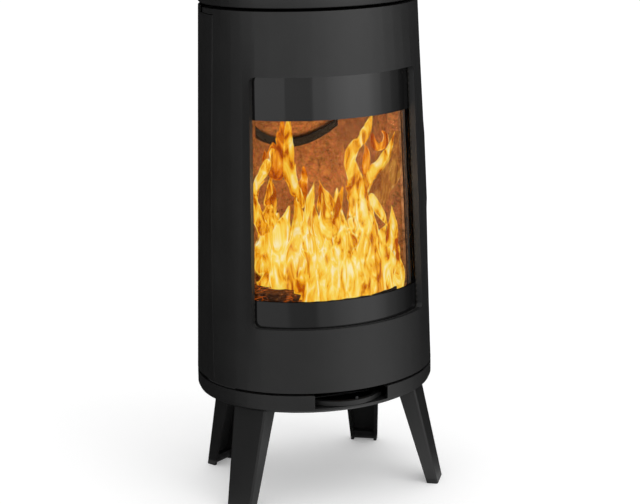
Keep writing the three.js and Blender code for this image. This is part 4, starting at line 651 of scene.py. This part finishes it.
OPENING_BACK = -0.04  # nothing that lies further back is browned or given painted firelight
OPENING_SHAPE = 0.9  # the width over the height, where its corners part the sides from top and foot
LOOKS_INWARD, LOOKS_FORWARD = 0.3, 0.6  # shares of a face's normal from which it counts as such


def paint_firelight_round_opening(piece):
    """Browns the faces of a piece round the opening that look at the fire or at the pane, which paints the
    fire's light on them: painted firelight.
    """
    piece.data.materials.append(firelit_brown_iron())
    middle = mix(sizes().clear_bottom, sizes().clear_top, 0.5)
    for face in piece.data.polygons:
        across, up = face.center.x, face.center.z - middle
        if abs(across) > abs(up) * OPENING_SHAPE:
            inward = -face.normal.x * np.sign(across)
        else:
            inward = -face.normal.z * np.sign(up)
        # faces that look at the fire or at the pane take the painted firelight, besides their browning
        gets_painted_firelight = inward > LOOKS_INWARD or face.normal.y < -LOOKS_FORWARD
        if gets_painted_firelight and face.center.y < OPENING_BACK:
            face.material_index = 1


def make_door_inside():
    finish_node("glass_seal", edge=sizes().small_edge, per_facet=2)
    for node in ("door_inner_frame", "door_rope_seal"):
        # the frame's and the rope's faces round the opening get painted firelight
        paint_firelight_round_opening(finish_node(node, edge=0, per_facet=2, shade=20))
    for node in BODY_OF:
        if node.startswith("inner_frame_screw"):
            finish_node(node, edge=SCREW_EDGE)
    for node in ("handle_pin", "hinge_leaf_lower"):
        finish_node(node, edge=sizes().small_edge)


def make_handle():
    finish_node("side_handle", edge=STOUT_EDGE)
    finish_node("latch_keeper", edge=sizes().small_edge)


def make_hinges():
    for node in ("hinge_bracket_upper", "hinge_pin_upper", "hinge_pin_lower"):
        finish_node(node, edge=sizes().small_edge)


def make_base():
    finish_node("base_casting", edge=sizes().panel_edge, per_facet=3, shade=40)
    finish_node("floor_plate", edge=sizes().small_edge, per_facet=2)
    for node in BODY_OF:
        if node.startswith("leg_bolt"):
            finish_node(node, edge=THIN_EDGE)
        elif node.startswith("leg_"):
            finish_node(node, edge=STOUT_EDGE, segments=3)


def make_air_control():
    finish_node("air_control_pull", edge=BOARD_EDGE, segments=3)
    for node in ("air_valve_seat", "air_slide_plate", "pull_screw_left", "pull_screw_right"):
        finish_node(node, edge=THIN_EDGE)


def make_firebox():
    # the firebox's faces round the opening get painted firelight
    paint_firelight_round_opening(finish_node("firebox_body", edge=sizes().small_edge, per_facet=2))
    finish_node("log_guard", edge=sizes().small_edge, per_facet=2)
    for node in ("hearth_plate", "grate", "ash_pan"):
        finish_node(node, edge=sizes().small_edge)
    drill_air_bar(finish_node("air_bar", edge=sizes().small_edge))


def drill_air_bar(bar):
    """The row of air holes along the bar's front face, one drill shape for all."""
    pitch, half_angle = 2.9, 33  # degrees from hole to hole, and from the back to the row's ends
    radius, reach = 0.0017, 0.004
    level = BODY_BOTTOM + 0.42  # about the bar's height, at which the skin is looked up
    above_edge, nearby = 0.007, 0.017  # the holes over the bar's lower edge, which is looked up near each
    drills = []
    for i in range(int(2 * half_angle / pitch) + 1):
        degrees = 180 - half_angle + i * pitch
        spot = skin_point(degrees, LINING_INSET + AIR_BAR_DEPTH, level)
        below = [vertex.co.z for vertex in bar.data.vertices if abs(vertex.co.x - spot.x) < nearby]
        spot.z = min(below) + above_edge
        drill = start_from(
            "cylinder", "drill", vertices=16, radius=radius, depth=2 * reach, end_fill_type="NGON",
        )
        turn = Matrix.Rotation(math.radians(degrees), 4, "Z") @ Matrix.Rotation(math.pi / 2, 4, "X")
        drill.data.transform(Matrix.Translation(spot) @ turn)
        drills.append(drill)
    pick(*drills)
    bpy.ops.object.join()
    apply_modifier(bar, "BOOLEAN", operation="DIFFERENCE", object=drills[0], solver="EXACT")
    bpy.data.objects.remove(drills[0])


def make_lining():
    for node in ("liner_left", "liner_right", "liner_rear"):
        finish_node(node, edge=BOARD_EDGE, per_facet=2)
    for node in ("baffle_board", "hearth_brick_left", "hearth_brick_right"):
        finish_node(node, edge=BOARD_EDGE)


def make_top():
    finish_node("top_plate", edge=0, per_facet=3, shade=50)
    finish_node("firebox_top", edge=sizes().small_edge, per_facet=2)
    finish_node("flue_collar", edge=COLLAR_EDGE)
    for node in BODY_OF:
        if node.startswith("collar_bolt"):
            finish_node(node, edge=THIN_EDGE)


# ------------------------------ fire
# The kinds of flame: material, colours of rim, body and heart, heat, size of the swirls in millimetres
# and, where it isn't the usual one, density.
FLAME_KINDS = {
    "gas": ("burning_gas", "#b04c02", "#f4a818", "#ffdb50", 0.12, 34),
    "lick": ("thin_flame", "#983a02", "#de780a", "#fcb428", -0.04, 28),
    "core": ("hot_heart_of_the_fire", "#c05c04", "#fcbe28", "#ffe66a", 0.24, 44),
    "haze": ("glowing_haze", "#7c4412", "#b98030", "#e2b24a", -0.02, 70, 0.42),
}

# Each tongue is a bent sheet: its kind, its depth in the stove in metres, the (x, z) of its middle line
# and its half widths in millimetres, both from foot to tip.
TONGUES = (
    # the tall one at the left: a red body between two bright stems, with a curl and a hook below
    ("lick", -0.094, ((-104, 632), (-107, 660), (-104, 686), (-98, 712), (-93, 748)),
     (10, 27, 25, 17, 3)),
    ("gas", -0.096, ((-156, 606), (-147, 632), (-133, 652), (-121, 672), (-112, 693)),
     (7, 9, 12, 13, 8)),
    ("gas", -0.097, ((-62, 574), (-70, 606), (-79, 639), (-84, 670), (-84, 706), (-82, 754)),
     (14, 13, 14, 15, 11, 3)),
    ("gas", -0.090, ((-131, 530), (-146, 566), (-152, 596), (-146, 617), (-131, 634)),
     (14, 13, 11, 8, 4)),
    ("lick", -0.086, ((-128, 588), (-116, 592), (-109, 606), (-113, 624)), (5, 7, 6, 2)),
    # the low ones in the middle
    ("lick", -0.084, ((-54, 575), (-54, 604), (-48, 630), (-50, 652)), (16, 13, 8, 2)),
    ("gas", -0.090, ((-4, 560), (-10, 584), (-17, 606), (-21, 624)), (24, 17, 8, 1)),
    # the tall one at the right: its body, bent tip, hook, a small lick, a long arm in haze, a short arm
    ("gas", -0.096, ((66, 540), (60, 575), (53, 605), (45, 635), (39, 660), (45, 684)),
     (30, 26, 21, 17, 16, 10)),
    ("gas", -0.097, ((42, 640), (40, 664), (50, 684), (64, 700), (75, 716), (85, 744)),
     (8, 14, 14, 13, 10, 1)),
    ("lick", -0.098, ((82, 708), (88, 687), (98, 679), (110, 685), (112, 700), (104, 710)),
     (4, 7, 8, 8, 6, 2)),
    ("lick", -0.090, ((70, 625), (76, 645), (77, 668), (72, 686)), (4, 9, 7, 1)),
    ("gas", -0.090, ((62, 580), (72, 606), (92, 632), (111, 650), (124, 672), (134, 704)),
     (18, 16, 13, 12, 9, 1)),
    ("haze", -0.086, ((98, 560), (110, 606), (124, 648), (138, 706)), (22, 34, 34, 20)),
    ("core", -0.102, ((78, 592), (90, 568), (102, 547), (116, 520)), (6, 9, 9, 2)),
    # the right flank, which falls off along the glass
    ("gas", -0.098, ((118, 470), (125, 502), (127, 530), (124, 562)), (18, 14, 9, 1)),
    ("gas", -0.096, ((128, 420), (134, 448), (135, 474), (127, 500)), (18, 13, 9, 1)),
    ("core", -0.094, ((136, 396), (144, 414), (146, 436), (140, 462)), (17, 12, 8, 1)),
)

# Rows of flame on arcs inside the glass: inset from the skin, number, reach to each side in degrees,
# and share of the full height.
FIRE_ROWS = ((0.056, 11, (-50, 49), 0.78), (0.080, 10, (-53, 51), 0.98), (0.112, 9, (-58, 54), 1.04))
# Height of the fire over the hearth in millimetres, by direction in degrees: it falls off at the right.
FIRE_TOP = (
    (-60, 200), (-50, 186), (-40, 168), (-28, 182), (-12, 176), (4, 182), (20, 186), (32, 176),
    (40, 140), (46, 88), (50, 46), (60, 60),
)
LOG_SHOWS = (-54, -20)  # where the front row stays low before the log
# A flame of the rows, in millimetres: how deep its foot lies under the hearth's level, what is added to
# its height, how far it sways, and its half widths at these shares of its height.
FLAME_SUNK, FLAME_ADDED, FLAME_SWAY = 14, 16, 16
FLAME_RISES = (0, 0.3, 0.58, 0.82, 1.08)
FLAME_WIDTHS = (30, 34, 30, 17, 2)


def bent_sheet(name, depth, path, widths, bow=0.35):
    """A flame sheet along a path, bowed across and divided finely; its own UV map runs up it."""
    points = [Vector((x / 1000, 0, z / 1000)) for x, z in path]
    spans = len(points) - 1

    def along(values, t):
        """A smooth curve through the values."""
        i = min(int(t * spans), spans - 1)
        u = t * spans - i
        a, b = values[max(i - 1, 0)], values[i]
        c, d = values[i + 1], values[min(i + 2, spans)]
        slope, square, cube = c - a, a * 2 - b * 5 + c * 4 - d, b * 3 - a - c * 3 + d
        return (b * 2 + slope * u + square * u * u + cube * u ** 3) * 0.5

    piece = start_from("grid", name, x_subdivisions=8, y_subdivisions=28, size=1, calc_uvs=True)
    for vertex in piece.data.vertices:
        across, t = vertex.co.x * 2, vertex.co.y + 0.5
        run = (along(points, min(t + 0.02, 1)) - along(points, max(t - 0.02, 0))).normalized()
        side = Vector((run.z, 0, -run.x))
        half = max(along(widths, t), 0.5) / 1000
        forward = Vector((0, depth + bow * half * (across ** 2 - 0.5), 0))
        vertex.co = along(points, t) + side * (across * half) + forward
    piece.visible_shadow = False  # it is light, and darkens nothing behind it
    return piece


def chance(*numbers):
    """A number from 0 to 1 that looks random and is the same each run."""
    return (math.sin(sum(n * k for n, k in zip(numbers, (12.9898, 78.233, 37.719)))) * 43758.5453) % 1


def row_flame(row, i):
    """One flame of a row: taller or shorter, wider or narrower and swaying by chance."""
    inset, number, (left, right), share = FIRE_ROWS[row]
    degrees = mix(left, right, (i + 0.5) / number) + 3 * (chance(i, row) - 0.5)
    root = skin_point(degrees, inset, HEARTH)
    full = np.interp(degrees, *zip(*FIRE_TOP)) * share
    tall = FLAME_ADDED + full * (0.84 + 0.42 * chance(i, row, 1))
    if row == 0 and LOG_SHOWS[0] < degrees < LOG_SHOWS[1]:
        tall = FLAME_ADDED + 14 * chance(i, row, 2)
    foot = HEARTH * 1000 - FLAME_SUNK
    path = []
    for k, rise in enumerate(FLAME_RISES):
        sway = FLAME_SWAY * (chance(i, row, 3 + k) - 0.5) * min(1, tall / 120)
        path.append((root.x * 1000 + sway, foot + tall * rise))
    widths = list(FLAME_WIDTHS)
    widths[2] -= 8 * chance(i, row, 9)
    wide = min(1, 0.35 + tall / 160)
    return bent_sheet(
        f"fire_row_{row + 1}_{i + 1}", root.y, path, [width * wide for width in widths], bow=0.6,
    )


def make_fire():
    kinds = {kind: flame(*settings) for kind, settings in FLAME_KINDS.items()}
    for i, (kind, depth, path, widths) in enumerate(TONGUES):
        finish_piece(bent_sheet(f"flame_tongue_{i + 1:02d}", depth, path, widths), kinds[kind])
    for row, (_, number, _, _) in enumerate(FIRE_ROWS):
        for i in range(number):
            kind = "gas" if chance(i, row, 10) > 0.66 else "core"
            finish_piece(row_flame(row, i), kinds[kind])


# The logs: the (x, y) of their ends with their height over the hearth, radius and start of their lumps.
LOGS = {
    "log_left": ((-0.152, -0.078, 0.024), (-0.072, -0.112, 0.020), 0.022, 0.4),
    "log_right": ((0.020, -0.072, 0.026), (0.124, -0.030, 0.028), 0.025, 2.1),
    "log_back": ((-0.105, 0.030, 0.028), (0.105, 0.046, 0.030), 0.027, 4.0),
    "log_across": ((-0.072, 0.050, 0.078), (0.050, -0.066, 0.070), 0.024, 5.3),
}
EMBERS, EMBER_RADIUS = 120, 0.011
EMBER_BED = (0, -0.014, HEARTH + 0.006)  # its middle
EMBER_SPREAD = (0.132, 0.098)  # half its width and half its depth
GOLDEN_ANGLE = 2.39996  # radians from lump to lump, which spreads them evenly


def make_log(name, start, end, radius, seed):
    """A split log: a cylinder with a flat riven side, lumpy bark and broken ends."""
    start, end = (Vector((x, y, HEARTH + over)) for x, y, over in (start, end))
    axis = end - start
    piece = start_from(
        "cylinder", name, vertices=28, radius=radius, depth=axis.length, end_fill_type="NGON",
    )
    lengths = 14
    with editing(piece):
        select_faces(piece, lambda centre, normal: abs(normal.z) > 0.9)
        bpy.ops.mesh.inset(thickness=radius * 0.35)
        for i in range(1, lengths):
            cut((0, 0, axis.length * (i / lengths - 0.5)), (0, 0, 1))
        cut((radius * 0.45, 0, 0), (1, 0.25, 0), clear_outer=True, use_fill=True)
    for vertex in piece.data.vertices:
        p = vertex.co
        round_it = math.atan2(p.y, p.x)
        lumps = (
            math.sin(p.z * 130 + seed) * 0.05 + math.sin(p.z * 61 + 3 * round_it + seed) * 0.09
            + math.sin(7 * round_it + p.z * 25 + seed) * 0.05
        )
        p.x *= 1 + lumps
        p.y *= 1 + lumps
        p.z += radius * 0.15 * math.sin(5 * p.x / radius + seed)
    turn = axis.to_track_quat("Z", "X").to_matrix().to_4x4()
    piece.data.transform(Matrix.Translation((start + end) / 2) @ turn)
    smooth(piece, 50)
    finish_piece(piece, charred_wood())


def make_embers():
    """A bed of embers: one lump, copied along a spiral in many sizes."""
    lump = start_from("ico_sphere", "ember_bed", subdivisions=2, radius=EMBER_RADIUS)
    for vertex in lump.data.vertices:
        p = vertex.co
        vertex.co = p * (1 + 0.22 * math.sin(700 * p.x + 3) * math.cos(560 * p.y - 260 * p.z))
    x, y, z = EMBER_BED
    pieces = [lump]
    for i in range(1, EMBERS):
        angle, out = i * GOLDEN_ANGLE, math.sqrt(i / EMBERS)
        copy = lump.copy()
        copy.data = lump.data.copy()
        bpy.context.scene.collection.objects.link(copy)
        size = 0.6 + 0.5 * abs(math.sin(i * 1.7))
        across, ahead = (half * out for half in EMBER_SPREAD)
        spot = (x + across * math.sin(angle), y - ahead * math.cos(angle), z)
        spin = Matrix.Rotation(i * 1.1, 4, "Z") @ Matrix.Rotation(i * 0.7, 4, "X")
        flattened = Matrix.Diagonal((size, size, size * 0.75, 1))
        copy.data.transform(Matrix.Translation(spot) @ spin @ flattened)
        pieces.append(copy)
    lump.data.transform(Matrix.Translation(EMBER_BED))
    pick(*pieces)
    bpy.ops.object.join()
    smooth(lump, 60)
    finish_piece(lump, glowing_ember())


def make_logs():
    for name, settings in LOGS.items():
        make_log(name, *settings)
    make_embers()


# ------------------------------ studio
FLOOR_RADIUS = 30
FLOOR_LIFT = 0.21  # keeps the floor white in the picture, and its shadow soft
SKY_LIGHT = 0.95  # the world's strength as light, beside 1 as background
SCREEN_RADIUS, SCREEN_HEIGHT, SCREEN_GAP = 2.6, 2.3, 0.01  # the gap is left over the floor
# The screen's tones by direction: degrees from the front towards +X, and brightness (1 is white).
SCREEN_TONES = (
    (-180, 0.04), (-78, 0.1), (-66, 1.3), (-34, 1.25), (-29.5, 0.86), (-9, 0.83), (-5, 1.38),
    (4, 1.5), (13, 1.95), (28, 2.38), (42, 2.3), (50, 1.85), (58, 1.15), (70, 0.6), (83, 0.2),
    (95, 0.03), (180, 0.04),
)
SCREEN_FOOT, SCREEN_TOP, GRADED_TO = 0.53, 1.17, 1.4  # its strength at the floor and at this height

# The fire's light: place, watts and radius of each lamp.
FIRE_LAMPS = {
    "fire_light_low": ((0.0, -0.03, 0.50), 0.7, 0.05),
    "fire_light_high": ((0.03, 0.0, 0.62), 0.4, 0.04),
    "fire_light_front": ((0.0, -0.145, 0.60), 0.8, 0.03),
}
# The glow on the lining at the right edge of the window is a column of small ones.
EDGE_LAMPS, EDGE_LAMP_PLACE, EDGE_LAMP_HEIGHTS = 4, (0.128, -0.104), (0.45, 0.72)
EDGE_LAMP_WATTS, EDGE_LAMP_RADIUS = 0.04, 0.01


@recipe("pale_studio_floor")
def floor_paint(tree, place):
    """Pale matt paint, which the camera alone sees a little brighter than it is lit."""
    matt = add(tree, "ShaderNodeBsdfDiffuse", {"Color": finish_colour("floor", 1)})
    lift = add(tree, "ShaderNodeMath", {
        0: add(tree, "ShaderNodeLightPath").outputs["Is Camera Ray"], 1: FLOOR_LIFT,
    }, operation="MULTIPLY")
    glow = add(tree, "ShaderNodeEmission", {"Strength": lift})
    return add(tree, "ShaderNodeAddShader", {0: matt, 1: glow})


@recipe("graded_studio_screen")
def graded_cloth(tree, place):
    """Lit cloth, whose tone changes with the direction and grows brighter from the floor up."""
    spot = add(tree, "ShaderNodeSeparateXYZ", {0: place}).outputs
    ahead = add(tree, "ShaderNodeMath", {0: spot["Y"], 1: -1.0}, operation="MULTIPLY")
    turn = add(tree, "ShaderNodeMath", {0: spot["X"], 1: ahead}, operation="ARCTAN2")
    share = add(tree, "ShaderNodeMapRange", {"Value": turn, "From Min": -math.pi, "From Max": math.pi})
    tones = [((degrees + 180) / 360, (tone, tone, tone, 1)) for degrees, tone in SCREEN_TONES]
    up = add(tree, "ShaderNodeMapRange", {
        "Value": spot["Z"], "From Min": 0.0, "From Max": GRADED_TO,
        "To Min": SCREEN_FOOT, "To Max": SCREEN_TOP,
    })
    return add(tree, "ShaderNodeEmission", {"Color": ramp(tree, share, *tones), "Strength": up})


def make_floor():
    floor = start_from(
        "circle", "studio_floor", vertices=96, radius=FLOOR_RADIUS, fill_type="NGON",
    )
    floor.data.materials.append(floor_paint())


def make_screen():
    """A photographer's screen round the stove, seen in reflections: pale ahead, dark at the sides."""
    screen = start_from(
        "cylinder", "reflection_screen", vertices=96, radius=SCREEN_RADIUS, depth=SCREEN_HEIGHT,
        end_fill_type="NGON",
    )
    screen.data.transform(Matrix.Translation((0, 0, SCREEN_HEIGHT / 2 + SCREEN_GAP)))
    screen.data.materials.append(graded_cloth())
    for ray in ("camera", "diffuse", "shadow", "transmission"):
        setattr(screen, "visible_" + ray, False)


def make_world():
    """White all round, at full strength where the camera, a mirror or a pane looks at it."""
    world = bpy.data.worlds.new("studio")
    bpy.context.scene.world = world
    world.use_nodes = True
    tree = world.node_tree
    tree.nodes.clear()
    path = add(tree, "ShaderNodeLightPath").outputs
    seen = path["Is Camera Ray"]
    for ray in ("Is Glossy Ray", "Is Transmission Ray"):
        seen = add(tree, "ShaderNodeMath", {0: seen, 1: path[ray]}, operation="MAXIMUM")
    level = add(tree, "ShaderNodeMapRange", {
        "Value": seen, "From Min": 0.0, "From Max": 1.0, "To Min": SKY_LIGHT, "To Max": 1.0,
    })
    sky = add(tree, "ShaderNodeBackground", {"Color": (1, 1, 1, 1), "Strength": level})
    add(tree, "ShaderNodeOutputWorld", {"Surface": sky})


def add_lamp(name, kind, place, watts):
    lamp = bpy.data.objects.new(name, bpy.data.lights.new(name, kind))
    lamp.location = place
    lamp.data.energy = watts
    bpy.context.scene.collection.objects.link(lamp)
    return lamp


def make_lamps():
    softbox = add_lamp("top_softbox", "AREA", (0.9, -1.6, 3.0), 14)
    softbox.data.shape = "RECTANGLE"
    softbox.data.size = softbox.data.size_y = 1.6
    stove_middle = Vector((0, 0, 0.5))
    look = stove_middle - softbox.location
    softbox.rotation_euler = look.to_track_quat("-Z", "Y").to_euler()
    lamps = dict(FIRE_LAMPS)
    for step in range(EDGE_LAMPS):
        place = (*EDGE_LAMP_PLACE, mix(*EDGE_LAMP_HEIGHTS, step / (EDGE_LAMPS - 1)))
        lamps[f"fire_light_edge_{step + 1}"] = (place, EDGE_LAMP_WATTS, EDGE_LAMP_RADIUS)
    for name, (place, watts, radius) in lamps.items():
        lamp = add_lamp(name, "POINT", place, watts)
        lamp.data.shadow_soft_size = radius
        lamp.data.color = linear("#ffd9b0")[:3]


def make_camera():
    """The photograph's viewpoint: its place, its three axes and its focal length."""
    eye = Vector((-1.17249653, -3.06969501, 1.33172182))
    right = Vector((0.93150985, -0.36350176, -0.01248514))
    up = Vector((0.10446851, 0.23451542, 0.96648272))
    ahead = Vector((0.34839021, 0.90159247, -0.25642791))
    focal_pixels, image_width = 1737.5, 640  # both in pixels of the photograph
    data = bpy.data.cameras.new("photo_camera")
    data.sensor_width = 36
    data.lens = focal_pixels * data.sensor_width / image_width
    camera = bpy.data.objects.new("photo_camera", data)
    bpy.context.scene.collection.objects.link(camera)
    turn = Matrix((right, up, -ahead)).transposed().to_4x4()
    camera.matrix_world = Matrix.Translation(eye) @ turn
    bpy.context.scene.camera = camera


def set_picture():
    scene = bpy.context.scene
    scene.view_settings.view_transform = "Standard"
    scene.cycles.transparent_max_bounces = 40  # a ray meets many sheets of flame


# ------------------------------ operators
class StoveStep:
    """What the stove's operators share: each runs its making functions in turn."""
    bl_options = {"REGISTER", "UNDO"}
    makers = ()

    def execute(self, context):
        for maker in self.makers:
            maker()
        return {"FINISHED"}


class STOVE_OT_panels(StoveStep, bpy.types.Operator):
    """Finish the side panels, the rear panel and the door casting"""
    bl_idname = "stove.panels"
    bl_label = "Panels and door"
    makers = (make_panels,)


class STOVE_OT_door(StoveStep, bpy.types.Operator):
    """Finish the glass, the inner frame, the seals and the screws of the door"""
    bl_idname = "stove.door"
    bl_label = "Glass and door inside"
    makers = (make_glass, make_door_inside)


class STOVE_OT_fittings(StoveStep, bpy.types.Operator):
    """Finish the handle, the latch and the hinges"""
    bl_idname = "stove.fittings"
    bl_label = "Handle and hinges"
    makers = (make_handle, make_hinges)


class STOVE_OT_base(StoveStep, bpy.types.Operator):
    """Finish the base casting, the legs and the air control"""
    bl_idname = "stove.base"
    bl_label = "Base, legs and air control"
    makers = (make_base, make_air_control)


class STOVE_OT_firebox(StoveStep, bpy.types.Operator):
    """Finish the firebox, its lining and the top"""
    bl_idname = "stove.firebox"
    bl_label = "Firebox, lining and top"
    makers = (make_firebox, make_lining, make_top)


class STOVE_OT_fire(StoveStep, bpy.types.Operator):
    """Lay the logs and the embers, and light the fire"""
    bl_idname = "stove.fire"
    bl_label = "Logs and fire"
    makers = (make_logs, make_fire)


class STOVE_OT_stage(StoveStep, bpy.types.Operator):
    """Set up the studio: floor, screen, sky, lamps and camera"""
    bl_idname = "stove.stage"
    bl_label = "Studio"
    makers = (make_floor, make_world, make_screen, make_lamps, make_camera, set_picture)


STEPS = (
    STOVE_OT_panels, STOVE_OT_door, STOVE_OT_fittings, STOVE_OT_base, STOVE_OT_firebox, STOVE_OT_fire,
    STOVE_OT_stage,
)


class STOVE_PT_sidebar(bpy.types.Panel):
    """Lists the stove's sizes, colours and steps"""
    bl_label = "Stove"
    bl_idname = "STOVE_PT_sidebar"
    bl_space_type = "VIEW_3D"
    bl_region_type = "UI"
    bl_category = "Stove"

    def draw(self, context):
        for group in (context.scene.stove_sizes, context.scene.stove_finishes):
            box = self.layout.box()
            for name in group.__annotations__:
                box.prop(group, name)
        for step in STEPS:
            self.layout.operator(step.bl_idname)


CLASSES = (StoveSizes, StoveFinishes, *STEPS, STOVE_PT_sidebar)


def register():
    for cls in CLASSES:
        bpy.utils.register_class(cls)
    bpy.types.Scene.stove_sizes = bpy.props.PointerProperty(type=StoveSizes)
    bpy.types.Scene.stove_finishes = bpy.props.PointerProperty(type=StoveFinishes)


def unregister():
    del bpy.types.Scene.stove_finishes
    del bpy.types.Scene.stove_sizes
    for cls in reversed(CLASSES):
        bpy.utils.unregister_class(cls)


def main():
    register()
    bpy.ops.stove.panels()
    bpy.ops.stove.door()
    bpy.ops.stove.fittings()
    bpy.ops.stove.base()
    bpy.ops.stove.firebox()
    bpy.ops.stove.fire()
    bpy.ops.stove.stage()


if __name__ == "__main__":
    main()
